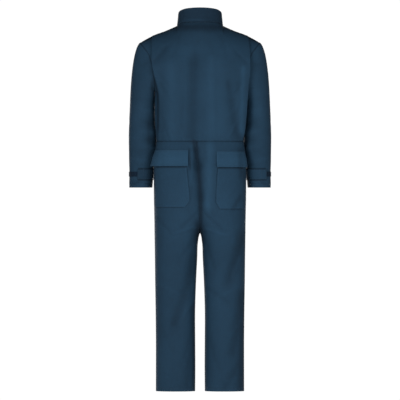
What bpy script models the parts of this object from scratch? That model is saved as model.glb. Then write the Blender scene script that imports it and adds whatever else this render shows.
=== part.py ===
"""A boiler suit in its worn, filled-out shape with nobody in it.

Metres, +Z up, +X to the wearer's left, -Y to the front. The origin is at the base of the neck, in the middle
of the shoulder line, where a wearer carries the suit. Tables give heights as `down`, the drop below it. Each
cloth piece is a grid of points on its outer face, with a wall worked inwards from it.
"""

import math

import bpy
import numpy as np

# Driving dimensions
CLOTH = 0.0016  # wall of the main cloth
COLLAR_CLOTH = 0.0020  # two layers sewn together
SEAM = 0.0005  # gap between two faces at a seam, which leaves about 0.3 mm where the walls lean together
POCKET_LIFT = 0.0010  # gap under a patch pocket or flap
WAIST_DOWN = 0.4785
ARMPIT_DOWN = 0.268
CROTCH_DOWN = 0.861
HEM_DOWN = 1.5215
CUFF_DOWN = 0.6713
SHOULDER_X = 0.250
SHOULDER_SLOPE = 0.385
SHOULDER_HOLLOW = 0.0022  # how far the slope sags between the neck and the shoulder
NECK_X, NECK_Y = 0.0965, 0.074
COLLAR_X, COLLAR_Y = 0.0912, 0.067
ARMHOLE_DEPTH = 0.066
NECK_STEP = 15  # degrees between the columns round the neck
ZIP_GAP = 0.0031  # from the middle to a front edge beside the tooth chain
COLLAR_FRONT_Z = -0.035  # the neck seam at the zip
ZIP_END_DOWN = 0.672

# Sections of the bodice from the shoulders to the waist: half width, and depths of back and front
BODY = {
    "down": (0.060, 0.120, 0.180, 0.225, 0.268, 0.310, 0.360, 0.410, 0.450, 0.4785),
    "side": (0.188, 0.188, 0.188, 0.188, 0.188, 0.190, 0.1895, 0.188, 0.1845, 0.1825),
    "back": (0.114, 0.119, 0.121, 0.120, 0.117, 0.112, 0.106, 0.100, 0.095, 0.092),
    "front": (0.100, 0.110, 0.116, 0.117, 0.116, 0.114, 0.111, 0.107, 0.103, 0.101),
}
# Legs: the outer edge, the inner edge (less than 0 while the two legs still share the seat), and the depths
LEG = {
    "down": (
        0.4785, 0.535, 0.600, 0.660, 0.720, 0.780, 0.830, 0.861,
        0.900, 0.960, 1.060, 1.180, 1.320, 1.420, 1.5215,
    ),
    "outer": (
        0.1825, 0.1905, 0.193, 0.1932, 0.1928, 0.1915, 0.1906, 0.1903,
        0.1897, 0.1889, 0.1877, 0.1858, 0.1845, 0.1845, 0.1847,
    ),
    "inner": (
        -0.1825, -0.1905, -0.189, -0.172, -0.122, -0.066, -0.022, 0.0,
        0.0083, 0.0110, 0.0160, 0.0199, 0.0197, 0.0192, 0.0200,
    ),
    "back": (
        0.092, 0.105, 0.118, 0.124, 0.124, 0.120, 0.114, 0.109,
        0.104, 0.098, 0.090, 0.085, 0.083, 0.081, 0.079,
    ),
    "front": (
        0.101, 0.105, 0.109, 0.110, 0.109, 0.107, 0.104, 0.102,
        0.100, 0.098, 0.094, 0.090, 0.085, 0.083, 0.081,
    ),
    "square": (3.0, 2.8, 2.6, 2.5, 2.4, 2.4, 2.4, 2.4, 2.3, 2.25, 2.2, 2.2, 2.2, 2.2, 2.2),
}
# The outer fold of each action pleat, from shoulder seam to waist: distance from the middle, and depth
PLEAT = {
    "down": (0.038, 0.090, 0.146, 0.188, 0.231, 0.268, 0.310, 0.360, 0.410, 0.450, 0.4785),
    "left": (0.2006, 0.2006, 0.2006, 0.1935, 0.1815, 0.1725, 0.1690, 0.1690, 0.1690, 0.1710, 0.1735),
    "right": (0.2006, 0.2065, 0.2085, 0.2080, 0.2035, 0.2005, 0.1975, 0.1945, 0.1900, 0.1850, 0.1765),
    "depth": (0.086, 0.087, 0.088, 0.086, 0.080, 0.074, 0.069, 0.063, 0.057, 0.051, 0.0465),
    "flat": (2.2, 2.2, 2.2, 2.3, 2.4, 2.6, 2.8, 3.1, 3.5, 3.8, 4.0),
}
FRONT_SQUARE = 2.4  # how square the front's sections are
PLEAT_TUCK = 0.030  # how far the cloth turns in under itself
FOLD_OUT = 0.0024  # radius of the fold that shows
FOLD_IN = 0.0010  # radius of the hidden fold
# Distance of the armhole seam from the middle, by the angle round the armhole from its top
ARMHOLE = {
    "angle": (0, 20, 40, 60, 80, 100, 120, 140, 160, 180),
    "back": (0.2500, 0.2475, 0.2330, 0.2140, 0.2030, 0.1965, 0.1925, 0.1900, 0.1885, 0.1880),
    "front": (0.2500, 0.2450, 0.2260, 0.2060, 0.1940, 0.1890, 0.1875, 0.1870, 0.1875, 0.1880),
}
# Sleeve sections: inner and outer edge, middle and half depth
SLEEVE = {
    "down": (0.330, 0.380, 0.430, 0.480, 0.530, 0.570, 0.600, 0.630, 0.655, 0.6713),
    "outer": (0.2938, 0.2962, 0.2979, 0.2984, 0.2976, 0.2971, 0.2960, 0.2962, 0.2968, 0.2963),
    "inner": (0.1885, 0.1870, 0.1840, 0.1800, 0.1850, 0.1895, 0.1930, 0.1960, 0.1977, 0.1992),
    "middle": (-0.040, -0.046, -0.050, -0.052, -0.052, -0.050, -0.050, -0.051, -0.052, -0.052),
    "depth": (0.066, 0.064, 0.062, 0.060, 0.058, 0.056, 0.054, 0.052, 0.051, 0.050),
}
# Large soft folds. Each runs from a top to a bottom point (across, down), with its half width and its height:
# a trough is less than 0, a ridge more.
BACK_FOLDS = (
    # top across, top down, bottom across, bottom down, half width, height
    (0.030, 0.15, 0.034, 0.46, 0.026, -0.0060),
    (0.125, 0.17, 0.122, 0.45, 0.030, 0.0040),
    (-0.048, 0.14, -0.050, 0.44, 0.030, 0.0045),
    (-0.132, 0.31, -0.158, 0.46, 0.020, -0.0060),
    (0.186, 0.14, 0.146, 0.09, 0.012, -0.0035),
    (0.018, 0.49, 0.010, 0.57, 0.016, -0.0120),
    (0.010, 0.57, -0.003, 0.70, 0.018, -0.0110),
    (-0.003, 0.70, -0.004, 0.77, 0.018, -0.0060),
    (0.036, 0.50, 0.034, 0.64, 0.014, 0.0040),
    (0.016, 0.97, 0.105, 1.23, 0.030, -0.0070),
    (0.040, 1.36, 0.052, 1.50, 0.020, -0.0040),
    (-0.178, 0.88, -0.122, 1.05, 0.026, -0.0075),
    (-0.180, 1.15, -0.138, 1.35, 0.026, -0.0065),
    (-0.160, 1.42, -0.105, 1.50, 0.018, -0.0040),
)
FRONT_FOLDS = (
    # top across, top down, bottom across, bottom down, half width, height
    (0.150, 0.20, 0.085, 0.34, 0.026, -0.0055),
    (-0.148, 0.22, -0.090, 0.37, 0.026, -0.0055),
    (0.090, 0.36, 0.120, 0.46, 0.024, 0.0035),
    (0.040, 0.80, 0.150, 0.72, 0.020, -0.0060),
    (-0.045, 0.82, -0.150, 0.75, 0.020, -0.0060),
    (0.050, 1.10, 0.150, 1.20, 0.028, -0.0060),
    (-0.040, 1.12, -0.145, 1.19, 0.028, -0.0065),
    (0.140, 1.38, 0.075, 1.48, 0.020, -0.0045),
)
# Bends round a sleeve: height, angle from the outer side, half height, half angle, depth
SLEEVE_FOLDS = (
    # down, angle, half height, half angle, height
    (0.400, 120, 0.020, 45, -0.0040),
    (0.440, 150, 0.016, 45, 0.0030),
    (0.475, 130, 0.018, 50, -0.0040),
    (0.520, 90, 0.022, 50, -0.0030),
    (0.580, 120, 0.012, 60, -0.0025),
)

# Back patch pockets and flaps: (down, inner edge, outer angle from the side seam in degrees)
POCKET_LEFT = {
    "down": (0.560, 0.620, 0.690, 0.7275, 0.7545),
    "inner": (0.0560, 0.0510, 0.0440, 0.0420, 0.0640),
}
POCKET_RIGHT = {
    "down": (0.565, 0.620, 0.690, 0.7330, 0.7620),
    "inner": (0.0740, 0.0700, 0.0660, 0.0650, 0.0820),
}
FLAP_LEFT = {"down": (0.5146, 0.537, 0.560, 0.583), "inner": (0.0500, 0.0490, 0.0480, 0.0464)}
FLAP_RIGHT = {"down": (0.5204, 0.542, 0.565, 0.5870), "inner": (0.0690, 0.0688, 0.0690, 0.0705)}

TRIM = 0.0015  # cloth of pockets, flaps, tabs and strips

NAVY = (0.016, 0.048, 0.093)
STRIP_BLACK = (0.008, 0.012, 0.020)
METAL = (0.42, 0.42, 0.43)


def through(table, column, down):
    """A smooth curve through one column of a table: cubic pieces that share their slopes where they meet."""
    knots = np.asarray(table["down"] if "down" in table else table["angle"], float)
    values = np.asarray(table[column], float)
    slopes = np.gradient(values, knots)
    at = np.clip(down, knots[0], knots[-1])
    i = np.clip(np.searchsorted(knots, at, side="right") - 1, 0, len(knots) - 2)
    step = knots[i + 1] - knots[i]
    u = (at - knots[i]) / step
    start = (2 * u**3 - 3 * u**2 + 1) * values[i] + (u**3 - 2 * u**2 + u) * step * slopes[i]
    end = (3 * u**2 - 2 * u**3) * values[i + 1] + (u**3 - u**2) * step * slopes[i + 1]
    return start + end


def unit(vectors):
    """The same vectors at length one."""
    return vectors / np.maximum(np.linalg.norm(vectors, axis=-1, keepdims=True), 1e-12)


def along(grid, axis, loop=False):
    """The direction of the grid's lines at every point: halfway between the two runs that meet there."""
    grid = np.moveaxis(grid, axis, 0)
    runs = unit(np.diff(np.concatenate([grid, grid[:1]]) if loop else grid, axis=0))
    if loop:
        middle = unit(runs + np.roll(runs, 1, axis=0))
        return np.moveaxis(middle, 0, axis)
    if len(runs) == 1:
        return np.moveaxis(np.concatenate([runs, runs]), 0, axis)
    middle = unit(runs[1:] + runs[:-1])
    first = unit(2 * runs[:1] - middle[:1])
    last = unit(2 * runs[-1:] - middle[-1:])
    return np.moveaxis(np.concatenate([first, middle, last]), 0, axis)


def normals(face, loop=False):
    """Which way the cloth faces at each grid point."""
    return unit(np.cross(along(face, 1, loop), along(face, 0)))


def facing_out(face, inside, loop=False):
    """The grid with its columns in the order that makes it face away from the upright line at `inside`."""
    away = face - np.array([inside[0], inside[1], 0.0])
    away[..., 2] = 0.0
    return face if np.sum(normals(face, loop) * away) > 0 else face[:, ::-1]


def trimmed(face, top=0.0, bottom=0.0, first=0.0, last=0.0):
    """The grid with its four edges drawn back along the cloth, to leave the gap of a seam."""
    face = face.copy()
    for edge, nextto, amount in ((0, 1, top), (-1, -2, bottom)):
        face[edge] += unit(face[nextto] - face[edge]) * amount
    for edge, nextto, amount in ((0, 1, first), (-1, -2, last)):
        face[:, edge] += unit(face[:, nextto] - face[:, edge]) * amount
    return face


def material(name, colour, roughness, metallic=0.0):
    made = bpy.data.materials.new(name)
    made.use_nodes = True
    shader = made.node_tree.nodes["Principled BSDF"]
    shader.inputs["Base Color"].default_value = (*colour, 1.0)
    shader.inputs["Roughness"].default_value = roughness
    shader.inputs["Metallic"].default_value = metallic
    made.diffuse_color = (*colour, 1.0)
    return made


def add_mesh(name, points, faces, finish):
    mesh = bpy.data.meshes.new(name)
    mesh.from_pydata(points.tolist(), [], faces)
    mesh.validate()
    mesh.shade_smooth()
    mesh.set_sharp_from_angle(angle=math.radians(50))
    mesh.materials.append(finish)
    made = bpy.data.objects.new(name, mesh)
    SUIT.objects.link(made)
    return made


def cloth(
    name, face, finish, thickness=CLOTH, loop=False, level_top=False, level_bottom=False, centre_seam=None
):
    """A closed wall: the grid is its outer face, and the inner face lies one thickness behind each point.

    A level edge is cut square to the upright, as at the waist seam and the hems. A centre seam, given as a
    mask of grid points, has its wall square to the middle plane. Each cell of the grid is split along its
    shorter diagonal, the same one on both faces, so that the faces stay apart where a cell is twisted.
    """
    rows, columns = face.shape[:2]
    behind = normals(face, loop)
    if centre_seam is not None:
        behind[centre_seam] = unit(behind[centre_seam] * np.array([0.0, 1.0, 1.0]))
    for edge, level in ((0, level_top), (-1, level_bottom)):
        if level:
            behind[edge] = unit(behind[edge] * np.array([1.0, 1.0, 0.0]))
    inner = face - thickness * behind
    points = np.concatenate([face.reshape(-1, 3), inner.reshape(-1, 3)])
    number = np.arange(rows * columns).reshape(rows, columns)
    if loop:
        number = np.concatenate([number, number[:, :1]], axis=1)
    corners = number[:-1, :-1], number[:-1, 1:], number[1:, 1:], number[1:, :-1]
    a, b, c, d = (corner.reshape(-1) for corner in corners)
    lean = np.linalg.norm(points[a] - points[c], axis=1) <= np.linalg.norm(points[b] - points[d], axis=1)
    halves = np.where(lean, (a, b, c), (a, b, d)), np.where(lean, (a, c, d), (b, c, d))
    outer_faces = np.concatenate(halves, axis=1).T
    inner_faces = outer_faces[:, ::-1] + rows * columns
    rim = [number[0], number[-1, ::-1]]
    if not loop:
        rim += [number[::-1, 0], number[:, -1]]
    rims = []
    for line in rim:
        p, q = line[:-1], line[1:]
        rims.append(np.stack([q, p, p + rows * columns, q + rows * columns], axis=-1))
    faces = [*outer_faces.tolist(), *inner_faces.tolist(), *np.concatenate(rims).tolist()]
    return add_mesh(name, points, faces, finish)


def fold_height(folds, x, down):
    """How far soft folds lift a point: each is a bell across its line that fades at the line's two ends."""
    lift = np.zeros(np.broadcast(x, down).shape)
    for top_x, top_down, end_x, end_down, half_width, height in folds:
        run = np.array([end_x - top_x, end_down - top_down])
        length = np.hypot(*run)
        run /= length
        part = ((x - top_x) * run[0] + (down - top_down) * run[1]) / length
        off = (x - top_x) * run[1] - (down - top_down) * run[0]
        beyond = np.maximum(np.maximum(-part, part - 1.0), 0.0) * length
        lift += height * np.exp(-((off / half_width) ** 2) - (beyond / (1.6 * half_width)) ** 2)
    return lift


def eased(part):
    """0 to 1 with a soft start and end."""
    part = np.clip(part, 0.0, 1.0)
    return part * part * (3.0 - 2.0 * part)


def seam_fade(down):
    """1 over the open cloth, 0 at the waist seam and the hems, where stitching holds it flat."""
    return eased(np.abs(down - WAIST_DOWN) / 0.035) * eased((HEM_DOWN - down) / 0.03)


def folded(face, folds, loop=False, fade=1.0):
    """The grid with its soft folds pushed in or out along the way the cloth faces."""
    n = normals(face, loop)
    n = n if np.sum(n[..., 1] * face[..., 1]) > 0 else -n
    lift = fold_height(folds, face[..., 0], -face[..., 2]) * seam_fade(-face[..., 2]) * fade
    return face + n * (lift * np.abs(n[..., 1]) ** 0.5)[..., None]


def neck_seam(angle):
    """A point of the neck seam, a ring that dips to the front. Its angle runs from the left over the back."""
    s = np.sin(angle)
    return np.stack([NECK_X * np.cos(angle), NECK_Y * s, 0.004 + 0.0275 * s - 0.0115 * s**2], axis=-1)


def shoulder_height(x):
    """The shoulder seam's height: a steady slope, a little hollow, that rounds off at the shoulder's end."""
    out = np.maximum(x - NECK_X, 0.0)
    hollow = SHOULDER_HOLLOW * np.exp(-(((x - 0.147) / 0.036) ** 2)) * eased(out / 0.02)
    return 0.004 - SHOULDER_SLOPE * out - hollow - 1.57 * np.maximum(x - 0.17, 0.0) ** 2


def top_line(x, forwards, rise):
    """Depth and height at the top of the cloth, at distance x from the middle, for a row at this rise.

    The top row is the neck seam and then the shoulder seam. Rows below it follow a softer line, without the
    corner where those two seams meet.
    """
    angle = np.arccos(np.clip(x / NECK_X, 0.0, 1.0)) * forwards
    seam = neck_seam(angle)
    on_neck = x < NECK_X
    y, z = np.where(on_neck, seam[..., 1], 0.0), np.where(on_neck, seam[..., 2], shoulder_height(x))
    u = np.clip(x / SOFT_X, 0.0, 1.0)
    middle, outer_z = neck_seam(np.array(math.pi / 2 * forwards)), shoulder_height(SOFT_X)
    soft_y = middle[1] * (1.0 - u**2) ** 2
    level = (2 * u**3 - 3 * u**2 + 1) * middle[2] + (3 * u**2 - 2 * u**3) * outer_z
    soft_z = np.where(x < SOFT_X, level - (u**3 - u**2) * SOFT_X * SHOULDER_SLOPE, shoulder_height(x))
    share = np.clip((rise - SOFT_RISE) / (1.0 - SOFT_RISE), 0.0, 1.0) ** 2
    return soft_y + (y - soft_y) * share, soft_z + (z - soft_z) * share


SOFT_X = 0.130  # where the soft line joins the shoulder seam
SOFT_RISE = 0.70  # rows below this rise follow the soft line alone
ARM_ANGLES = np.radians(np.arange(180, -1, -20))  # where the rows above the armpit meet the armhole
RISE = (1.0 + np.cos(ARM_ANGLES)) / 2.0  # 0 at the armpit, 1 at the shoulder
LOW_ROWS = np.array([0.4785, 0.452, 0.414, 0.372, 0.334, 0.298])  # rows from the waist up to the armpit
ARMHOLE_TOP = -shoulder_height(SHOULDER_X)


def armhole(angle, branch):
    """A point of the armhole seam. Its angle is 0 at the shoulder, pi at the armpit, on the back or front."""
    middle, half = (ARMHOLE_TOP + ARMPIT_DOWN) / 2, (ARMPIT_DOWN - ARMHOLE_TOP) / 2
    sign = 1.0 if branch == "back" else -1.0
    x = through(ARMHOLE, branch, np.degrees(angle))
    return np.stack([x, sign * ARMHOLE_DEPTH * np.sin(angle), -middle + half * np.cos(angle)], axis=-1)


def shoulder_round(rise, part):
    """How full the body still is at this rise: 1 below, rounding over to 0 at the shoulder and neck seams."""
    start = 0.32
    power = 1.5 + 0.6 * eased(part / 0.6)
    over = np.clip((rise - start) / (1.0 - start), 0.0, 1.0)
    return (1.0 - over**power) ** (1.0 / power)


def top_columns(start, end):
    """Where the columns along a bodice's top lie: under the collar they match the collar's own."""
    neck = NECK_X * np.sin(np.radians(np.arange(0, 91, NECK_STEP)))
    neck[0] = start
    return np.concatenate([neck, NECK_X + (end - NECK_X) * np.linspace(0.0, 1.0, 5)[1:]])


def back_half(side):
    """The half of the back bodice on one side, from the middle out to the side seam and armhole, as a grid.

    The first stretch is the panel that shows, as far as the pleat's outer fold. The cloth then turns in under
    itself, turns back, and runs out to the side seam. Rows run from the waist up.
    """
    pleat_top_x = through(PLEAT, side, 0.038)
    part = top_columns(0.0, pleat_top_x) / pleat_top_x
    rows = []
    for down in LOW_ROWS:
        reach = through(PLEAT, side, down)
        middle, edge = through(BODY, "back", down), through(PLEAT, "depth", down)
        y = middle - (middle - edge) * part ** through(PLEAT, "flat", down)
        end = np.array([through(BODY, "side", down), 0.0, -down])
        rows.append((np.stack([reach * part, y, np.full_like(y, -down)], axis=-1), end))
    for angle, rise in zip(ARM_ANGLES, RISE):
        top_y, top_z = top_line(pleat_top_x * part, 1.0, rise)
        z = -ARMPIT_DOWN + rise * (top_z + ARMPIT_DOWN)
        reach = through(PLEAT, side, -z[-1])
        middle = through(BODY, "back", -z[0])
        edge = through(PLEAT, "depth", -z[-1])
        full = middle - (middle - edge) * part ** through(PLEAT, "flat", -z[-1])
        y = top_y + (full - top_y) * shoulder_round(rise, part)
        rows.append((np.stack([reach * part, y, z], axis=-1), armhole(angle, "back")))
    shown = np.array([row for row, _ in rows]) * np.array([1.0 if side == "left" else -1.0, 1.0, 1.0])
    shown = folded(shown, BACK_FOLDS, fade=eased(shown[..., 1] / 0.05))
    shown[:, 0, 0] = 0.0
    shown = shown if side == "left" else mirrored(shown)
    ends = np.array([end for _, end in rows])
    face_out, face_across = -normals(shown), along(shown, 1)
    for low in (face_out, face_across):
        low[: len(LOW_ROWS), :, 2] = 0.0
    face_out, face_across = unit(face_out), unit(face_across)
    out, across = face_out[:, -1], face_across[:, -1]
    turn = np.linspace(0.0, math.pi, 5)
    edge = shown[:, -1]
    bend_out = [edge + FOLD_OUT * (across * math.sin(a) - out * (1 - math.cos(a))) for a in turn[1:]]
    bend_in = []
    for a in turn:
        point, point_out = inwards_from_edge(shown, face_out, PLEAT_TUCK + FOLD_IN * math.sin(a))
        bend_in.append(point - point_out * (2 * FOLD_OUT + FOLD_IN * (1 - math.cos(a))))
    start = edge - out * (2 * FOLD_OUT + 2 * FOLD_IN)
    span = np.linalg.norm(ends - start, axis=-1, keepdims=True)
    level = (np.arange(len(ends)) <= len(LOW_ROWS))[:, None]
    fullness = np.concatenate([np.ones(len(LOW_ROWS)), 1.0 - RISE**2])[:, None]  # none at the shoulder seam
    arrive = np.where(level, np.array([0.0, -1.0, 0.0]), unit(ends - start - out * span * fullness)) * span
    outward = []
    for u in (0.0, 0.25, 0.5, 0.75, 1.0):
        point = (2 * u**3 - 3 * u**2 + 1) * start + (u**3 - 2 * u**2 + u) * across * span * 0.1
        outward.append(point + (3 * u**2 - 2 * u**3) * ends + (u**3 - u**2) * arrive)
    return np.concatenate([shown, np.stack([*bend_out, *bend_in, *outward], axis=1)], axis=1)


def inwards_from_edge(face, out, distance):
    """The point of each row at this distance from its end, measured along the cloth, and its way out."""
    points, directions = [], []
    for row, row_out in zip(face, out):
        steps = np.linalg.norm(np.diff(row, axis=0), axis=1)
        from_edge = np.concatenate([np.cumsum(steps[::-1])[::-1], [0.0]])
        points.append([np.interp(-distance, -from_edge, row[:, i]) for i in range(3)])
        directions.append([np.interp(-distance, -from_edge, row_out[:, i]) for i in range(3)])
    return np.array(points), unit(np.array(directions))


def mirrored(face):
    return face * np.array([-1.0, 1.0, 1.0])


def back_bodice():
    """Both halves of the back in one piece of cloth, with a pleat down each side."""
    left, right = back_half("left"), mirrored(back_half("right"))
    face = np.concatenate([right[:, :0:-1], left], axis=1)[::-1]
    face = trimmed(face, SEAM / 2, SEAM / 2, SEAM / 2, SEAM / 2)
    cloth("back_bodice", facing_out(face, (0.0, 0.0)), NAVY_CLOTH, level_bottom=True)


def front_bodice_face(side):
    """A front: from the zip to the side seam and armhole, rows from the waist up."""
    top_x = top_columns(ZIP_GAP, SHOULDER_X)
    part = (top_x - ZIP_GAP) / (SHOULDER_X - ZIP_GAP)
    low_spread = np.sin(part**0.8 * math.pi / 2) ** (2 / FRONT_SQUARE)
    rows = []
    for down in LOW_ROWS:
        width, depth = through(BODY, "side", down), through(BODY, "front", down)
        x = ZIP_GAP + (width - ZIP_GAP) * low_spread
        y = -depth * np.clip(1 - (x / width) ** FRONT_SQUARE, 0, 1) ** (1 / FRONT_SQUARE)
        rows.append(np.stack([x, y, 0 * x - down], axis=-1))
    for angle, rise in zip(ARM_ANGLES, RISE):
        end = armhole(angle, "front")
        top_y, top_z = top_line(top_x, -1.0, rise)
        spread = low_spread + (part - low_spread) * eased(rise)
        x = ZIP_GAP + (end[0] - ZIP_GAP) * spread
        z = -ARMPIT_DOWN + rise * (top_z + ARMPIT_DOWN)
        depth = through(BODY, "front", -z[0])
        round_off = np.clip(1 - spread**FRONT_SQUARE, 0, 1) ** (1 / FRONT_SQUARE)
        full = end[1] - (depth + end[1]) * round_off
        y = top_y + (full - top_y) * shoulder_round(rise, part)
        y[-1], z[-1] = end[1], end[2]
        rows.append(np.stack([x, y, z], axis=-1))
    face = np.array(rows)[::-1]
    return face if side == "left" else mirrored(face)


def front_bodice(side):
    face = front_bodice_face(side)
    open_cloth = eased((1.0 - np.abs(face[..., 0]) / np.abs(face[:, -1:, 0])) / 0.25)
    face = folded(face, FRONT_FOLDS, fade=open_cloth * eased(np.abs(face[..., 0]) / 0.03))
    face = trimmed(face, SEAM / 2, SEAM / 2, 0.0, SEAM / 2)
    cloth(f"front_bodice_{side}", facing_out(face, (0.0, 0.0)), NAVY_CLOTH, level_bottom=True)


def leg_rings(down, angle):
    """A point on a leg's section. The angle is 0 at the side seam and half a turn at the inseam."""
    outer, inner = through(LEG, "outer", down), through(LEG, "inner", down)
    middle, half = (outer + inner) / 2, (outer - inner) / 2
    power = 2.0 / through(LEG, "square", down)
    depth = np.where(np.sin(angle) > 0, through(LEG, "back", down), through(LEG, "front", down))
    x = middle + half * np.sign(np.cos(angle)) * np.abs(np.cos(angle)) ** power
    y = depth * np.sign(np.sin(angle)) * np.abs(np.sin(angle)) ** power
    return np.stack([x, y, np.broadcast_to(-down, x.shape)], axis=-1)


def leg_angle(down, x):
    """The angle at which a leg's section passes a distance x from the middle, on the back."""
    outer, inner = through(LEG, "outer", down), through(LEG, "inner", down)
    reach = np.clip((x - (outer + inner) / 2) / ((outer - inner) / 2), -1.0, 1.0)
    return np.arccos(np.sign(reach) * np.abs(reach) ** (through(LEG, "square", down) / 2.0))


def leg_rows():
    """Heights of a leg's rows, closer together where the seat turns in to the crotch."""
    seat = (0.714, 0.752, 0.786, 0.815, 0.838, 0.853)
    upper = np.array([WAIST_DOWN, 0.515, 0.552, 0.590, 0.630, ZIP_END_DOWN, *seat])
    lower = CROTCH_DOWN + (HEM_DOWN - CROTCH_DOWN) * np.linspace(0.0, 1.0, 13) ** 1.15
    return np.concatenate([upper, lower])


def leg_face(branch, side, columns=10):
    """A leg panel from its centre seam and inseam to its side seam."""
    down = leg_rows()[:, None]
    middle_gap = 0.0
    if branch == "front":
        middle_gap = np.where(down <= ZIP_END_DOWN, ZIP_GAP, 0.0)
    start = leg_angle(down, middle_gap)
    part = np.linspace(0.0, 1.0, columns)[None, :] ** 1.1
    angle = start * (1.0 - part)
    face = leg_rings(down, angle if branch == "back" else -angle)
    return face if side == "left" else mirrored(face)


def side_fade(face):
    """Fades folds out beside the side seam, and beside the inseam below the crotch."""
    down = -face[..., 2]
    outer, inner = through(LEG, "outer", down), through(LEG, "inner", down)
    fade = eased((outer - np.abs(face[..., 0])) / 0.03 + np.abs(face[..., 1]) / 0.12)
    below = eased((down - CROTCH_DOWN + 0.02) / 0.04)
    return fade * (1.0 - below * (1.0 - eased((np.abs(face[..., 0]) - inner) / 0.02)))


def leg_panel(branch, side):
    face = leg_face(branch, side)
    fade = side_fade(face) * eased(np.abs(face[..., 1]) / 0.05)
    centre_x = face[:, 0, 0].copy()
    face = folded(face, BACK_FOLDS if branch == "back" else FRONT_FOLDS, fade=fade)
    face[:, 0, 0] = centre_x
    face = trimmed(face, SEAM / 2, 0.0, SEAM / 2 if branch == "back" else 0.0, SEAM / 2)
    if branch == "front":
        seam = -face[:, 0, 2] > ZIP_END_DOWN
        face[seam, 0] += unit(face[seam, 1] - face[seam, 0]) * SEAM / 2
    hand = 1.0 if side == "left" else -1.0
    face[..., 0] = hand * np.maximum(face[..., 0] * hand, SEAM / 2)
    face = facing_out(face, (0.095 * hand, 0.0))
    centre_seam = (np.abs(face[..., 0]) < 2 * ZIP_GAP) & (-face[..., 2] < CROTCH_DOWN - 0.03)
    level = {"level_top": True, "level_bottom": True}
    cloth(f"{branch}_leg_{side}", face, NAVY_CLOTH, centre_seam=centre_seam, **level)


def sleeve_face(side, columns=18):
    """A sleeve: its head leaves the armhole in line with the shoulder and bends down into the arm."""
    angle = np.linspace(0.0, 2 * math.pi, columns, endpoint=False)
    on_back = (angle <= math.pi)[:, None]
    seam = np.where(on_back, armhole(angle, "back"), armhole(2 * math.pi - angle, "front"))
    seam[:, 1] = ARMHOLE_DEPTH * np.sin(angle)

    def ring(down):
        outer, inner = through(SLEEVE, "outer", down), through(SLEEVE, "inner", down)
        x = (outer + inner) / 2 + (outer - inner) / 2 * np.cos(angle)
        y = through(SLEEVE, "middle", down) + through(SLEEVE, "depth", down) * np.sin(angle)
        return np.stack([x, y, 0 * x - down], axis=-1)

    first = ring(SLEEVE["down"][0])
    span = np.linalg.norm(first - seam, axis=-1, keepdims=True)
    top = (1 + np.cos(angle))[:, None] / 2
    leave = unit(top * np.array([0.81, 0.0, -0.58]) + (1 - top) * np.array([0.46, 0.0, -0.89]))
    leave = leave * span * (0.35 + 0.07 * top)
    arrive = np.array([0.03, 0.0, -1.0]) * span * 1.15
    rows = []
    for u in (0.0, 0.09, 0.20, 0.34, 0.50, 0.66, 0.83):
        point = (2 * u**3 - 3 * u**2 + 1) * seam + (u**3 - 2 * u**2 + u) * leave
        rows.append(point + (3 * u**2 - 2 * u**3) * first + (u**3 - u**2) * arrive)
    rows += [ring(down) for down in np.linspace(SLEEVE["down"][0], CUFF_DOWN, 13)]
    face = np.array(rows)
    lift = np.zeros(face.shape[:2])
    for down, centre, half_height, half_angle, height in SLEEVE_FOLDS:
        gap = (np.degrees(angle)[None, :] - centre + 180) % 360 - 180
        lift += height * np.exp(-(((-face[..., 2] - down) / half_height) ** 2) - (gap / half_angle) ** 2)
    face = face - normals(face, True) * lift[..., None] * eased((CUFF_DOWN + face[..., 2]) / 0.03)[..., None]
    face = trimmed(face, top=2.4 * SEAM)
    return face if side == "left" else mirrored(face)


def sleeve(side):
    inside = 0.241 if side == "left" else -0.241
    face = sleeve_face(side)
    n = np.sum(normals(face, True) * (face - np.array([inside, -0.03, 0.0])) * np.array([1, 1, 0]))
    cloth(f"sleeve_{side}", face if n > 0 else face[:, ::-1], NAVY_CLOTH, loop=True, level_bottom=True)


def collar():
    """A stand collar: an open ring from one side of the zip round the back to the other, taller behind."""
    start = math.degrees(math.asin(ZIP_GAP / NECK_X))
    angle = np.radians([-90 + start, *range(-90 + NECK_STEP, 270, NECK_STEP), 270 - start])
    s = np.sin(angle)
    base = neck_seam(angle)
    top_z = 0.0530 + 0.040 * s + np.where(s > 0, -0.0132, 0.0090) * s**2
    rows = []
    lean = ((1.0, 1.0, 1.0), (0.66, 0.70, 1.0), (0.33, 0.38, 0.96), (0.12, 0.14, 0.66), (0.0, 0.0, 0.0))
    for part, side_in, back_in in lean:  # the sides lean in evenly, the back and the front mostly at the base
        x = (NECK_X + (COLLAR_X - NECK_X) * side_in) * np.cos(angle)
        y = (NECK_Y + (COLLAR_Y - NECK_Y) * back_in) * s
        rows.append(np.stack([x, y, base[:, 2] + (top_z - base[:, 2]) * part], axis=-1))
    face = trimmed(np.array(rows), bottom=SEAM)
    face[:, 0, 0], face[:, -1, 0] = ZIP_GAP, -ZIP_GAP
    cloth("collar", facing_out(face, (0.0, 0.0)), NAVY_CLOTH, thickness=COLLAR_CLOTH)


def seat_patch(table, side, outer_angle, downs, columns, lift):
    """A piece laid on the seat, from an inner edge to an angle near the side seam."""
    down = np.asarray(downs)[:, None]
    inner = np.interp(down, table["down"], table["inner"])
    part = np.linspace(0.0, 1.0, columns)[None, :]
    angle = leg_angle(down, inner) * (1 - part) + math.radians(outer_angle) * part
    face = leg_rings(down, angle)
    face = face if side == "left" else mirrored(face)
    face = folded(face, BACK_FOLDS, fade=side_fade(face) * eased(np.abs(face[..., 1]) / 0.05))
    face = facing_out(face, (0.095 if side == "left" else -0.095, 0.0))
    part = part if abs(face[0, 0, 0]) < abs(face[0, -1, 0]) else part[:, ::-1]
    return face + normals(face) * (lift(down, part) + TRIM + POCKET_LIFT)[..., None]


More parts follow.
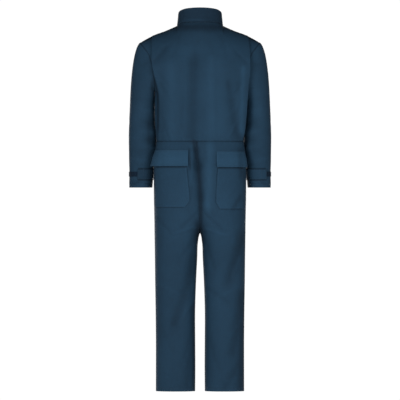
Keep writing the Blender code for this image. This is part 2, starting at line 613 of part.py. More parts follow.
def pocket(side, table, outer_angle):
    top, corner, bottom = table["down"][0], table["down"][-2], table["down"][-1]
    downs = np.concatenate([np.linspace(top, corner, 7), np.linspace(corner, bottom, 3)[1:]])
    face = seat_patch(table, side, outer_angle, downs, 11, lambda down, part: 0 * down * part)
    cloth(f"pocket_{side}", face, NAVY_CLOTH, thickness=TRIM)


def flap(side, table, outer_angle, flare):
    """A flap: sewn along its top, and standing off the pocket towards its free lower edge."""
    top, bottom = table["down"][0], table["down"][-1]

    def lift(down, part):
        free = (down - top) / (bottom - top)
        over_pocket = TRIM + 2 * POCKET_LIFT
        return over_pocket * eased(free / 0.5) + free**1.5 * (0.0025 + flare * part**2)

    face = seat_patch(table, side, outer_angle, np.linspace(top, bottom, 5), 11, lift)
    cloth(f"flap_{side}", face, NAVY_CLOTH, thickness=TRIM)


def sleeve_patch(side, first, last, columns, top, bottom, lift, thickness, slant=0.0):
    """A strip laid round the sleeve between two angles from the outer side, over the back."""
    part = np.linspace(0.0, 1.0, columns)
    angle = np.radians(first + (last - first) * part)
    rows = []
    for edge in np.linspace(0.0, 1.0, 3):
        down = top + (bottom - top) * edge + slant * part * edge
        outer, inner = through(SLEEVE, "outer", down), through(SLEEVE, "inner", down)
        x = (outer + inner) / 2 + (outer - inner) / 2 * np.cos(angle)
        y = through(SLEEVE, "middle", down) + through(SLEEVE, "depth", down) * np.sin(angle)
        rows.append(np.stack([x, y, -down], axis=-1))
    face = np.array(rows)
    face = face if side == "left" else mirrored(face)
    away = face - np.array([0.245 if side == "left" else -0.245, -0.046, 0.0])
    n = normals(face)
    n = n if np.sum(n[..., :2] * away[..., :2]) > 0 else -n
    face = face + n * (lift(part) + thickness)[None, :, None]
    return face if np.sum(normals(face)[..., :2] * away[..., :2]) > 0 else face[:, ::-1]


def cuff_pieces(side, tab_end, slant):
    """The loop strip round the back of the wrist, and the tab whose end closes over it."""
    strip_thickness = 0.0012
    strip = (side, -35.0, tab_end + 22.0, 9, 0.6049, 0.6249)
    face = sleeve_patch(*strip, lambda part: 0.0008 + 0 * part, strip_thickness)
    cloth(f"cuff_strip_{side}", face, STRIP_CLOTH, thickness=strip_thickness)

    def lift(part):
        return 0.0008 + (strip_thickness + 0.0006) * (1.0 - eased((part - 0.16) / 0.35))

    face = sleeve_patch(side, tab_end, 205.0, 14, 0.5936, 0.6370, lift, TRIM, slant)
    cloth(f"cuff_tab_{side}", face, NAVY_CLOTH, thickness=TRIM)


def centre_front():
    """The line down the middle of the front that the zip follows, from the collar's top to the zip's end."""
    collar_z = np.linspace(0.0205, COLLAR_FRONT_Z + 0.0015, 4)
    points = [(-COLLAR_Y, z) for z in collar_z]
    bodice = front_bodice_face("left")[1:, 0]
    points += [(y, z) for _, y, z in bodice]
    for down in np.linspace(0.50, ZIP_END_DOWN, 6):
        points.append((-through(LEG, "front", down), -down))
    return np.array(points)


def zip_strip(name, half_width, outer, thickness, finish, collar_step=0.0):
    """A long strip down the centre front.

    `outer` is how far its face stands off the fronts' face, and `collar_step` how much more on the collar.
    """
    line = centre_front()
    middle = np.stack([0 * line[:, 0], line[:, 0], line[:, 1]], axis=-1)
    face = np.stack([middle + np.array([x, 0.0, 0.0]) for x in (half_width, -half_width)], axis=1)
    on_collar = (line[:, 1] > COLLAR_FRONT_Z)[:, None, None]
    face = face + normals(face) * (outer + on_collar * collar_step)
    return cloth(name, facing_out(face, (0.0, 0.0)), finish, thickness=thickness)


def box(name, centre, size, finish, bevel=0.0):
    bpy.ops.mesh.primitive_cube_add(size=1.0, location=centre)
    made = bpy.context.active_object
    made.name = name
    made.scale = size
    bpy.ops.object.transform_apply(location=False, rotation=False, scale=True)
    for collection in list(made.users_collection):
        collection.objects.unlink(made)
    SUIT.objects.link(made)
    if bevel:
        rounding = made.modifiers.new("rounding", "BEVEL")
        rounding.width = bevel
        rounding.segments = 2
    made.data.materials.append(finish)
    return made


def joined(base, others):
    """One body from several that overlap."""
    for other in others:
        union = base.modifiers.new("union", "BOOLEAN")
        union.operation = "UNION"
        union.object = other
        cut_tool(other)
    return base


def cut_tool(tool):
    tool.hide_render = True
    tool.display_type = "WIRE"
    SUIT.objects.unlink(tool)
    CUTTERS.objects.link(tool)


SLIDER_Z = 0.0080  # height of the pull tab's hinge
SLIDER_Y = -COLLAR_Y - 0.0007  # back of the slider's plate
HINGE_Y = SLIDER_Y - 0.0042
BAR_RADIUS = 0.0008


def zip_slider():
    """The slider's front plate, with an arch that holds the pull tab's bar."""
    plate_size = (0.0090, 0.0024, 0.0150)
    plate = box("zip_slider", (0, SLIDER_Y - 0.0012, SLIDER_Z), plate_size, METAL_FINISH, 0.0006)
    legs = []
    for sign, name in ((1, "arch_upper"), (-1, "arch_lower")):
        centre = (0, SLIDER_Y - 0.0036, SLIDER_Z + sign * 0.0032)
        legs.append(box(name, centre, (0.0022, 0.0042, 0.0014), METAL_FINISH))
    legs.append(box("arch_bar", (0, HINGE_Y - 0.0020, SLIDER_Z), (0.0022, 0.0014, 0.0078), METAL_FINISH))
    joined(plate, legs)


def zip_pull():
    """The pull tab: a bar through the slider's arch, two arms and a plate with a hole."""
    across = (0, math.pi / 2, 0)
    bpy.ops.mesh.primitive_cylinder_add(vertices=12, radius=BAR_RADIUS, depth=0.0080, rotation=across)
    bar = bpy.context.active_object
    bar.name = "zip_pull"
    for collection in list(bar.users_collection):
        collection.objects.unlink(bar)
    SUIT.objects.link(bar)
    bpy.ops.object.transform_apply(location=False, rotation=True, scale=True)
    bar.data.materials.append(METAL_FINISH)
    arms = []
    for name, x in (("pull_arm_left", 0.0033), ("pull_arm_right", -0.0033)):
        arms.append(box(name, (x, 0, -0.0034), (0.0014, 0.0014, 0.0080), METAL_FINISH))
    plate = box("pull_plate", (0, 0, -0.0185), (0.0084, 0.0014, 0.0240), METAL_FINISH, 0.0004)
    joined(bar, [*arms, plate])
    hole = box("pull_hole", (0, 0, -0.0240), (0.0036, 0.0040, 0.0070), METAL_FINISH, 0.0012)
    cut = bar.modifiers.new("hole", "BOOLEAN")
    cut.operation = "DIFFERENCE"
    cut.object = hole
    cut_tool(hole)
    for tool in (*arms, plate, hole):
        tool.location = (tool.location[0], tool.location[1] + HINGE_Y, tool.location[2] + SLIDER_Z)
    bar.location = (0, HINGE_Y, SLIDER_Z)


def start_clean():
    for old in list(bpy.data.objects):
        bpy.data.objects.remove(old)


start_clean()
SUIT = bpy.data.collections.new("boiler_suit")
CUTTERS = bpy.data.collections.new("cutters")
bpy.context.scene.collection.children.link(SUIT)
bpy.context.scene.collection.children.link(CUTTERS)
NAVY_CLOTH = material("navy_twill", NAVY, 0.85)
STRIP_CLOTH = material("loop_strip", STRIP_BLACK, 0.95)
METAL_FINISH = material("zip_metal", METAL, 0.35, 1.0)

back_bodice()
collar()
for each_side in ("left", "right"):
    front_bodice(each_side)
    sleeve(each_side)
    leg_panel("back", each_side)
    leg_panel("front", each_side)
pocket("left", POCKET_LEFT, outer_angle=21.0)
pocket("right", POCKET_RIGHT, outer_angle=26.0)
flap("left", FLAP_LEFT, outer_angle=11.0, flare=0.0085)
flap("right", FLAP_RIGHT, outer_angle=15.0, flare=0.0010)
cuff_pieces("left", 73.0, 0.003)
cuff_pieces("right", 52.0, 0.004)
zip_strip("zip_tape", 0.011, -COLLAR_CLOTH - 0.0009, 0.0010, NAVY_CLOTH, collar_step=-0.0004)
zip_strip("zip_chain", ZIP_GAP - SEAM, 0.0004, 0.0025, METAL_FINISH)
zip_slider()
zip_pull()
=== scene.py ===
# %% [markdown]
# # A boiler suit, dressed
# The suit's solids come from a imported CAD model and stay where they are. This script gives the suit its looks:
# fine cloth shells with creases, seams and stitches, a zip with teeth, and materials for twill, thread and
# metal. Lengths are metres. +Z is up, +X is the wearer's left and the wearer faces -Y, so +Y sees the back.

# %% Load the frame
import math

import bpy
import numpy as np
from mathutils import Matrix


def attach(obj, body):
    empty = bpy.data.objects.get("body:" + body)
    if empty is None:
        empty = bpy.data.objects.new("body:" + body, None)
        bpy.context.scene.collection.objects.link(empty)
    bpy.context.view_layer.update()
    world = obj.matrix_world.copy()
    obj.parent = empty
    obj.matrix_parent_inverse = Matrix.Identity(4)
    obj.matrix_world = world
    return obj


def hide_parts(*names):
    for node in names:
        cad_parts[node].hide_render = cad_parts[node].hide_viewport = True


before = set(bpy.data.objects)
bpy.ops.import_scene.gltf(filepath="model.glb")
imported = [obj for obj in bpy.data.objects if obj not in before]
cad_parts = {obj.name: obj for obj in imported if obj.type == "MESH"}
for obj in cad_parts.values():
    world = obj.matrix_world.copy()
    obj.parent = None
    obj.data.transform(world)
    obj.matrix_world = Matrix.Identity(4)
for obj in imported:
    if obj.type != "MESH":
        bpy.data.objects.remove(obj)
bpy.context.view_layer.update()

# %% [markdown]
# ## Camera, floor and light
# The camera stands level behind the suit, a long way off, so that its lines stay upright as they would in a
# catalogue picture. Two large soft lamps stand behind the suit: the stronger one, on the wearer's left, models
# the folds, and the other keeps the shadows open. A second pair does the same for the front. The sky is bright
# near the horizon and dim high up, so it lights every side and still leaves shade in the folds.

# %% Stage
VIEW_WIDTH = 1.672  # how much of the suit's plane fits across the picture
VIEW_DISTANCE = 24.0
CAMERA_HEIGHT = -0.7232  # the middle of the picture
FLOOR_HEIGHT, FLOOR_REACH = -1.75, 1.6
LIT_POINT = (0.0, 0.0, -0.6)
LAMPS = (
    # name, place, size, power
    ("key", (1.15, 2.85, -0.35), 1.0, 125.0),
    ("fill", (-1.3, 2.8, -0.5), 1.2, 95.0),
    ("front_key", (-0.6, -3.0, -0.35), 1.0, 135.0),
    ("front_fill", (1.3, -2.8, -0.5), 1.2, 70.0),
)
SKY_FALLS = (0.15, 0.45)  # steepness, as a sine, at which the sky starts and stops getting dimmer
SKY_STRENGTH = (1.03, 0.2)  # below the first and above the second

eye = bpy.data.cameras.new("eye")
eye.sensor_width = 36.0
eye.sensor_fit = "HORIZONTAL"
eye.lens = 36.0 * VIEW_DISTANCE / VIEW_WIDTH
camera = bpy.data.objects.new("camera", eye)
camera.location = (0.0, VIEW_DISTANCE, CAMERA_HEIGHT)
camera.rotation_euler = (math.radians(90), 0.0, math.radians(180))
bpy.context.scene.collection.objects.link(camera)
bpy.context.scene.camera = camera


def lamp(name, place, size, power):
    """A square soft lamp that points from its place to the middle of the suit."""
    data = bpy.data.lights.new(name, "AREA")
    data.shape, data.size, data.energy = "SQUARE", size, power
    made = bpy.data.objects.new(name, data)
    made.location = place
    direction = np.subtract(LIT_POINT, place)
    yaw = math.atan2(direction[1], direction[0])
    pitch = math.atan2(direction[2], math.hypot(direction[0], direction[1]))
    made.rotation_euler = (math.radians(90) + pitch, 0.0, yaw - math.radians(90))
    bpy.context.scene.collection.objects.link(made)


for row in LAMPS:
    lamp(*row)

sky = bpy.data.worlds.new("pale_sky")
sky.use_nodes = True
sky_nodes, sky_links = sky.node_tree.nodes, sky.node_tree.links
sky_nodes["Background"].inputs["Color"].default_value = (1.0, 1.0, 1.0, 1.0)
way, parts = sky_nodes.new("ShaderNodeNewGeometry"), sky_nodes.new("ShaderNodeSeparateXYZ")
steep, level = sky_nodes.new("ShaderNodeMath"), sky_nodes.new("ShaderNodeMapRange")
steep.operation, level.interpolation_type = "ABSOLUTE", "SMOOTHSTEP"
for socket, value in zip(("From Min", "From Max", "To Min", "To Max"), SKY_FALLS + SKY_STRENGTH):
    level.inputs[socket].default_value = value
sky_links.new(way.outputs["Incoming"], parts.inputs[0])
sky_links.new(parts.outputs[2], steep.inputs[0])
sky_links.new(steep.outputs[0], level.inputs["Value"])
sky_links.new(level.outputs[0], sky_nodes["Background"].inputs["Strength"])
bpy.context.scene.world = sky
bpy.context.scene.view_settings.view_transform = "Standard"

floor_mesh = bpy.data.meshes.new("floor")
corners = [(x * FLOOR_REACH, y * FLOOR_REACH, FLOOR_HEIGHT) for x, y in ((-1, -1), (1, -1), (1, 1), (-1, 1))]
floor_mesh.from_pydata(corners, [], [(0, 1, 2, 3)])
floor = bpy.data.objects.new("floor", floor_mesh)
bpy.context.scene.collection.objects.link(floor)
pale = bpy.data.materials.new("pale_floor")
pale.use_nodes = True
pale_shader = pale.node_tree.nodes["Principled BSDF"]
pale_shader.inputs["Base Color"].default_value = (0.97, 0.97, 0.97, 1.0)
pale_shader.inputs["Roughness"].default_value = 0.9
floor_mesh.materials.append(pale)

# %% [markdown]
# ## Sizes
# The suit is worked out from sections, as a tailor's block is: short tables give the body, each leg, each
# sleeve and each pleat at a few heights, and a smooth curve runs through every column. `down` is the drop below
# the base of the neck. These are the sizes of the CAD model too, so every shell lies on its solid. Four differ:
# `SOFT_RISE` beside the neck, `FLAP_STAND` and `UNDERARM`, by a few millimetres, and `SEAT_SEAM`, which swings
# the seat's centre seam up to 14 mm aside near the waist.

# %% Tables
WAIST, ARMPIT, CROTCH, HEM, CUFF = 0.4785, 0.268, 0.861, 1.5215, 0.6713  # seams and edges, as drops
SHOULDER_X, SHOULDER_SLOPE, SHOULDER_HOLLOW = 0.250, 0.385, 0.0022  # the shoulder seam
SOFT_X, SOFT_RISE = 0.130, 0.84  # how far out and up the cloth beside the neck runs in a soft line
NECK_X, NECK_Y, COLLAR_X, COLLAR_Y = 0.0965, 0.074, 0.0912, 0.067  # half axes at the neck and the collar's top
ARMHOLE_DEPTH, FRONT_SQUARE = 0.066, 2.4
ZIP_GAP, ZIP_END, COLLAR_FRONT_Z = 0.0031, 0.672, -0.035
CLOTH, COLLAR_CLOTH, TRIM, POCKET_LIFT = 0.0016, 0.0020, 0.0015, 0.0010  # thicknesses, and a pocket's gap
PLEAT_TUCK, FOLD_OUT, FOLD_IN = 0.030, 0.0024, 0.0010  # the pleat's depth and the radii of its two folds
LEG_MIDDLE, SLEEVE_MIDDLE, CUFF_MIDDLE = 0.095, (0.241, -0.03), (0.245, -0.046)  # inside points, on the left
DEPTH, LEVEL = np.array([0.0, 1.0, 0.0]), np.array([1.0, 1.0, 0.0])  # the parts of a direction that count
HAND = {"left": 1.0, "right": -1.0}  # the sign of x on each side

# Rows of stitches, as (edge, distance from it). A shell draws their channels and the last cells lay the thread.
LEG_HEM = 0.014
SLEEVE_STITCHES = (("top", 0.004), ("bottom", 0.012))
COLLAR_STITCHES = (("top", 0.005), ("bottom", 0.004), ("first", 0.005), ("last", 0.005))
POCKET_STITCHES = (("bottom", 0.003), ("first", 0.003), ("last", 0.003))
FLAP_STITCHES = (("top", 0.003), ("top", 0.009), ("bottom", 0.005), ("first", 0.005), ("last", 0.005))
TAB_STITCHES = (("top", 0.004), ("bottom", 0.004), ("first", 0.004), ("last", 0.004))

BODY = {
    "down": (0.060, 0.120, 0.180, 0.225, 0.268, 0.310, 0.360, 0.410, 0.450, 0.4785),
    "side": (0.188, 0.188, 0.188, 0.188, 0.188, 0.190, 0.1895, 0.188, 0.1845, 0.1825),
    "back": (0.114, 0.119, 0.121, 0.120, 0.117, 0.112, 0.106, 0.100, 0.095, 0.092),
    "front": (0.100, 0.110, 0.116, 0.117, 0.116, 0.114, 0.111, 0.107, 0.103, 0.101),
}
LEG = {
    "down": (
        0.4785, 0.535, 0.600, 0.660, 0.720, 0.780, 0.830, 0.861,
        0.900, 0.960, 1.060, 1.180, 1.320, 1.420, 1.5215,
    ),
    "outer": (
        0.1825, 0.1905, 0.193, 0.1932, 0.1928, 0.1915, 0.1906, 0.1903,
        0.1897, 0.1889, 0.1877, 0.1858, 0.1845, 0.1845, 0.1847,
    ),
    "inner": (
        -0.1825, -0.1905, -0.189, -0.172, -0.122, -0.066, -0.022, 0.0,
        0.0083, 0.0110, 0.0160, 0.0199, 0.0197, 0.0192, 0.0200,
    ),
    "back": (
        0.092, 0.105, 0.118, 0.124, 0.124, 0.120, 0.114, 0.109,
        0.104, 0.098, 0.090, 0.085, 0.083, 0.081, 0.079,
    ),
    "front": (
        0.101, 0.105, 0.109, 0.110, 0.109, 0.107, 0.104, 0.102,
        0.100, 0.098, 0.094, 0.090, 0.085, 0.083, 0.081,
    ),
    "square": (3.0, 2.8, 2.6, 2.5, 2.4, 2.4, 2.4, 2.4, 2.3, 2.25, 2.2, 2.2, 2.2, 2.2, 2.2),
}
PLEAT = {
    "down": (0.038, 0.090, 0.146, 0.188, 0.231, 0.268, 0.310, 0.360, 0.410, 0.450, 0.4785),
    "left": (0.2006, 0.2006, 0.2006, 0.1935, 0.1815, 0.1725, 0.1690, 0.1690, 0.1690, 0.1710, 0.1735),
    "right": (0.2006, 0.2065, 0.2085, 0.2080, 0.2035, 0.2005, 0.1975, 0.1945, 0.1900, 0.1850, 0.1765),
    "depth": (0.086, 0.087, 0.088, 0.086, 0.080, 0.074, 0.069, 0.063, 0.057, 0.051, 0.0465),
    "flat": (2.2, 2.2, 2.2, 2.3, 2.4, 2.6, 2.8, 3.1, 3.5, 3.8, 4.0),
}
ARMHOLE = {
    "down": (0, 20, 40, 60, 80, 100, 120, 140, 160, 180),  # degrees round the armhole from its top
    "back": (0.2500, 0.2475, 0.2330, 0.2140, 0.2030, 0.1965, 0.1925, 0.1900, 0.1885, 0.1880),
    "front": (0.2500, 0.2450, 0.2260, 0.2060, 0.1940, 0.1890, 0.1875, 0.1870, 0.1875, 0.1880),
}
SLEEVE = {
    "down": (0.330, 0.380, 0.430, 0.480, 0.530, 0.570, 0.600, 0.630, 0.655, 0.6713),
    "outer": (0.2938, 0.2962, 0.2979, 0.2984, 0.2976, 0.2971, 0.2960, 0.2962, 0.2968, 0.2963),
    "inner": (0.1885, 0.1870, 0.1840, 0.1800, 0.1850, 0.1895, 0.1930, 0.1960, 0.1977, 0.1992),
    "middle": (-0.040, -0.046, -0.050, -0.052, -0.052, -0.050, -0.050, -0.051, -0.052, -0.052),
    "depth": (0.066, 0.064, 0.062, 0.060, 0.058, 0.056, 0.054, 0.052, 0.051, 0.050),
}


def curve(table, column, at):
    """A smooth curve through one column: cubic pieces that share their slopes where they meet."""
    knots, values = np.asarray(table["down"], float), np.asarray(table[column], float)
    slopes = np.gradient(values, knots)
    at = np.clip(at, knots[0], knots[-1])
    i = np.clip(np.searchsorted(knots, at, side="right") - 1, 0, len(knots) - 2)
    step = knots[i + 1] - knots[i]
    u = (at - knots[i]) / step
    start = (2 * u**3 - 3 * u**2 + 1) * values[i] + (u**3 - 2 * u**2 + u) * step * slopes[i]
    return start + (3 * u**2 - 2 * u**3) * values[i + 1] + (u**3 - u**2) * step * slopes[i + 1]


# %% [markdown]
# ## Folds and creases
# Each fold is a line on the cloth with a bell-shaped section: a trough is less than 0, a ridge more, and it
# fades out past both ends. The large ones shape the solids as well. The small ones are only here: they start at
# the places where cloth is caught, as at the waist seam, the armholes, the crotch, the knees and the hems.

# %% Fold tables
BACK_FOLDS = (
    # top across, top down, bottom across, bottom down, half width, height
    (0.030, 0.15, 0.034, 0.46, 0.026, -0.0060),
    (0.125, 0.17, 0.122, 0.45, 0.030, 0.0040),
    (-0.048, 0.14, -0.050, 0.44, 0.030, 0.0045),
    (-0.132, 0.31, -0.158, 0.46, 0.020, -0.0060),
    (0.186, 0.14, 0.146, 0.09, 0.012, -0.0035),
    (0.018, 0.49, 0.010, 0.57, 0.016, -0.0120),
    (0.010, 0.57, -0.003, 0.70, 0.018, -0.0110),
    (-0.003, 0.70, -0.004, 0.77, 0.018, -0.0060),
    (0.036, 0.50, 0.034, 0.64, 0.014, 0.0040),
    (0.016, 0.97, 0.105, 1.23, 0.030, -0.0070),
    (0.040, 1.36, 0.052, 1.50, 0.020, -0.0040),
    (-0.178, 0.88, -0.122, 1.05, 0.026, -0.0075),
    (-0.180, 1.15, -0.138, 1.35, 0.026, -0.0065),
    (-0.160, 1.42, -0.105, 1.50, 0.018, -0.0040),
)
FRONT_FOLDS = (
    (0.150, 0.20, 0.085, 0.34, 0.026, -0.0055),
    (-0.148, 0.22, -0.090, 0.37, 0.026, -0.0055),
    (0.090, 0.36, 0.120, 0.46, 0.024, 0.0035),
    (0.040, 0.80, 0.150, 0.72, 0.020, -0.0060),
    (-0.045, 0.82, -0.150, 0.75, 0.020, -0.0060),
    (0.050, 1.10, 0.150, 1.20, 0.028, -0.0060),
    (-0.040, 1.12, -0.145, 1.19, 0.028, -0.0065),
    (0.140, 1.38, 0.075, 1.48, 0.020, -0.0045),
)
BACK_CREASES = (
    # waist puckers, then the back, the seat, the thighs, behind the knees, and the hems
    (0.020, 0.458, 0.019, 0.472, 0.0035, 0.0013),
    (0.011, 0.462, 0.011, 0.474, 0.0030, -0.0011),
    (0.002, 0.455, 0.001, 0.472, 0.0036, 0.0014),
    (-0.008, 0.463, -0.008, 0.474, 0.0030, -0.0010),
    (-0.018, 0.457, -0.019, 0.472, 0.0040, 0.0012),
    (0.072, 0.452, 0.069, 0.470, 0.0060, 0.0012),
    (-0.083, 0.448, -0.080, 0.470, 0.0060, 0.0013),
    (0.138, 0.440, 0.130, 0.468, 0.0070, -0.0014),
    (0.024, 0.070, 0.026, 0.320, 0.0045, -0.0009),
    (0.088, 0.040, 0.106, 0.105, 0.0100, -0.0013),
    (-0.090, 0.042, -0.112, 0.115, 0.0110, -0.0014),
    (-0.192, 0.150, -0.150, 0.105, 0.0090, -0.0018),
    (0.172, 0.190, 0.140, 0.240, 0.0090, -0.0016),
    (0.165, 0.240, 0.128, 0.310, 0.0110, -0.0020),
    (-0.178, 0.225, -0.140, 0.290, 0.0100, -0.0022),
    (-0.172, 0.300, -0.128, 0.365, 0.0090, 0.0018),
    (-0.160, 0.385, -0.120, 0.455, 0.0080, 0.0020),
    (0.156, 0.350, 0.132, 0.430, 0.0090, 0.0014),
    (-0.030, 0.330, -0.022, 0.440, 0.0100, 0.0014),
    (0.070, 0.300, 0.078, 0.420, 0.0120, -0.0014),
    (0.030, 0.485, 0.024, 0.560, 0.0050, 0.0026),
    (0.006, 0.488, -0.004, 0.560, 0.0050, 0.0018),
    (-0.018, 0.490, -0.030, 0.555, 0.0070, -0.0020),
    (0.026, 0.620, 0.050, 0.760, 0.0070, -0.0018),
    (-0.026, 0.640, -0.052, 0.780, 0.0080, -0.0020),
    (0.014, 0.780, 0.075, 0.835, 0.0090, -0.0030),
    (-0.016, 0.775, -0.090, 0.842, 0.0090, -0.0032),
    (0.020, 0.835, 0.110, 0.862, 0.0080, 0.0022),
    (-0.020, 0.842, -0.105, 0.868, 0.0080, 0.0020),
    (0.176, 0.800, 0.120, 0.865, 0.0100, -0.0022),
    (0.030, 0.900, 0.090, 0.985, 0.0110, -0.0026),
    (-0.024, 0.905, -0.060, 1.010, 0.0110, -0.0024),
    (-0.172, 0.960, -0.135, 1.040, 0.0080, 0.0020),
    (0.028, 1.080, 0.120, 1.135, 0.0100, -0.0024),
    (0.165, 1.075, 0.095, 1.110, 0.0090, 0.0018),
    (-0.030, 1.090, -0.120, 1.150, 0.0110, -0.0024),
    (-0.165, 1.085, -0.085, 1.120, 0.0090, 0.0019),
    (0.030, 1.150, 0.080, 1.220, 0.0100, 0.0016),
    (-0.172, 1.225, -0.130, 1.290, 0.0090, 0.0018),
    (0.172, 1.255, 0.125, 1.340, 0.0120, -0.0020),
    (0.035, 1.290, 0.070, 1.400, 0.0100, -0.0020),
    (-0.034, 1.300, -0.075, 1.420, 0.0110, -0.0018),
    (-0.168, 1.430, -0.118, 1.448, 0.0060, -0.0022),
    (-0.165, 1.462, -0.112, 1.478, 0.0060, 0.0018),
    (-0.160, 1.486, -0.120, 1.497, 0.0050, -0.0016),
    (0.150, 1.450, 0.100, 1.478, 0.0080, -0.0018),
)
BACK_PAINTED_SHADING = (
    # painted shade in the folds and hollows: down the back, the seat's fold, the crotch and beside the inseam.
    # The rows above 0 are painted highlights on lit ridges. They change the tone, not the shape.
    (0.022, 0.130, 0.030, 0.470, 0.026, -0.0060),
    (-0.117, 0.240, -0.150, 0.430, 0.015, -0.0050),
    (-0.078, 0.160, -0.082, 0.440, 0.034, 0.0035),
    (-0.180, 0.180, -0.172, 0.430, 0.014, 0.0085),
    (-0.166, 0.520, -0.170, 0.620, 0.014, -0.0070),
    (-0.166, 0.712, -0.140, 0.757, 0.012, -0.0070),
    (-0.042, 0.500, -0.034, 0.740, 0.024, 0.0095),
    (-0.085, 0.003, 0.085, 0.003, 0.025, -0.0120),
    (-0.115, 0.098, 0.090, 0.098, 0.040, 0.0032),
    (0.105, 0.980, 0.105, 1.500, 0.085, -0.0028),
    (0.026, 0.480, 0.010, 0.570, 0.013, -0.0140),
    (0.006, 0.580, -0.002, 0.700, 0.015, -0.0140),
    (-0.003, 0.700, -0.003, 0.860, 0.015, -0.0150),
    (0.002, 0.835, 0.002, 0.880, 0.030, -0.0150),
    (0.0435, 0.512, 0.0415, 0.590, 0.006, -0.0130),
    (0.028, 1.180, 0.024, 1.500, 0.020, -0.0075),
    (-0.178, 1.120, -0.172, 1.500, 0.026, -0.0085),
)
FRONT_CREASES = (
    (0.160, 0.150, 0.110, 0.230, 0.0100, -0.0022),
    (-0.165, 0.160, -0.112, 0.235, 0.0100, -0.0022),
    (0.172, 0.240, 0.120, 0.300, 0.0110, -0.0020),
    (-0.170, 0.250, -0.125, 0.320, 0.0100, 0.0018),
    (0.060, 0.330, 0.052, 0.440, 0.0100, 0.0016),
    (-0.055, 0.300, -0.062, 0.430, 0.0110, -0.0016),
    (0.110, 0.448, 0.106, 0.470, 0.0060, 0.0014),
    (-0.120, 0.446, -0.124, 0.470, 0.0070, 0.0013),
    (0.030, 0.490, 0.050, 0.580, 0.0090, -0.0018),
    (-0.034, 0.490, -0.055, 0.590, 0.0090, -0.0018),
    (0.160, 0.560, 0.120, 0.680, 0.0120, -0.0020),
    (-0.165, 0.580, -0.130, 0.700, 0.0120, -0.0020),
    (0.018, 0.815, 0.120, 0.780, 0.0090, -0.0028),
    (-0.020, 0.820, -0.110, 0.790, 0.0090, -0.0028),
    (0.022, 0.860, 0.105, 0.870, 0.0080, 0.0020),
    (-0.022, 0.865, -0.120, 0.880, 0.0080, -0.0022),
    (0.040, 1.060, 0.130, 1.110, 0.0100, 0.0020),
    (-0.035, 1.080, -0.120, 1.130, 0.0100, 0.0020),
    (0.060, 1.180, 0.150, 1.240, 0.0110, -0.0022),
    (-0.060, 1.190, -0.150, 1.235, 0.0100, -0.0022),
    (0.045, 1.300, 0.075, 1.400, 0.0110, -0.0018),
    (-0.160, 1.330, -0.120, 1.430, 0.0110, -0.0018),
    (-0.060, 1.440, -0.110, 1.470, 0.0070, -0.0020),
    (0.060, 1.455, 0.120, 1.480, 0.0070, -0.0018),
)
ALL_BACK, ALL_FRONT = BACK_FOLDS + BACK_CREASES + BACK_PAINTED_SHADING, FRONT_FOLDS + FRONT_CREASES
SLEEVE_FOLDS = (
    # down, angle from the outer side, half height, half angle, height
    (0.400, 120, 0.020, 45, -0.0040),
    (0.440, 150, 0.016, 45, 0.0030),
    (0.475, 130, 0.018, 50, -0.0040),
    (0.520, 90, 0.022, 50, -0.0030),
    (0.580, 120, 0.012, 60, -0.0025),
)
SLEEVE_CREASES = (
    (0.155, 60, 0.012, 26, -0.0018),
    (0.185, 110, 0.010, 30, -0.0020),
    (0.235, 300, 0.012, 34, -0.0022),
    (0.260, 140, 0.009, 40, -0.0024),
    (0.300, 75, 0.011, 40, -0.0016),
    (0.350, 120, 0.008, 44, 0.0016),
    (0.372, 250, 0.009, 40, -0.0020),
    (0.395, 320, 0.009, 40, -0.0020),
    (0.420, 100, 0.007, 38, -0.0018),
    (0.432, 280, 0.008, 46, 0.0018),
    (0.462, 60, 0.008, 40, 0.0015),
    (0.505, 140, 0.008, 44, 0.0016),
    (0.548, 60, 0.009, 36, 0.0014),
    (0.6445, 80, 0.0030, 34, -0.0022),
    (0.6500, 120, 0.0030, 30, 0.0022),
    (0.6545, 62, 0.0030, 26, -0.0020),
    (0.6585, 100, 0.0026, 36, 0.0018),
    (0.6570, 140, 0.0026, 22, -0.0018),
    (0.647, 260, 0.0045, 60, -0.0016),
)


def fold_height(folds, x, down):
    """How far folds lift a point: a bell across each line, exp(-(off/width)^2), that fades past the ends."""
    lift = np.zeros(np.broadcast(x, down).shape)
    for top_x, top_down, end_x, end_down, half_width, height in folds:
        run = np.array([end_x - top_x, end_down - top_down])
        length = np.hypot(*run)
        run /= length
        part = ((x - top_x) * run[0] + (down - top_down) * run[1]) / length
        off = (x - top_x) * run[1] - (down - top_down) * run[0]
        beyond = np.maximum(np.maximum(-part, part - 1.0), 0.0) * length
        lift += height * np.exp(-((off / half_width) ** 2) - (beyond / (1.6 * half_width)) ** 2)
    return lift


def eased(part):
    """0 to 1 with a soft start and end: 3p^2 - 2p^3."""
    part = np.clip(part, 0.0, 1.0)
    return part * part * (3.0 - 2.0 * part)


def ripple(s, pitch, seed):
    """An uneven wave along a seam: three sines whose lengths share no common measure."""
    a = 2 * math.pi * s / pitch
    return 0.5 * np.sin(a + seed) + 0.33 * np.sin(1.618 * a + 2.3 * seed) + 0.24 * np.sin(2.71 * a + 4.1 * seed)


# %% [markdown]
# ## Grids
# Every piece of cloth is a grid of points on its outer face. These helpers find the way a grid faces, push it
# in or out, find a line at a set distance from an edge, where a row of stitches runs, and roll its edges down.

# %% Grid helpers
def unit(vectors):
    """The same directions with length 1."""
    return vectors / np.maximum(np.linalg.norm(vectors, axis=-1, keepdims=True), 1e-12)


def turned_to(ways, aim):
    """Facing directions, all reversed if on the whole they point away from the aim."""
    return ways if np.sum(ways * aim) > 0 else -ways


def mirrored(face, side):
    """The grid as it is for the left side, or with its x reversed for the right."""
    return face if side == "left" else face * np.array([-1.0, 1.0, 1.0])


def normals(face, loop=False):
    """Which way the cloth faces: the cross product of the run along a row and the run down a column."""
    along = np.roll(face, -1, 1) - np.roll(face, 1, 1) if loop else np.gradient(face, axis=1)
    return unit(np.cross(along, np.gradient(face, axis=0)))


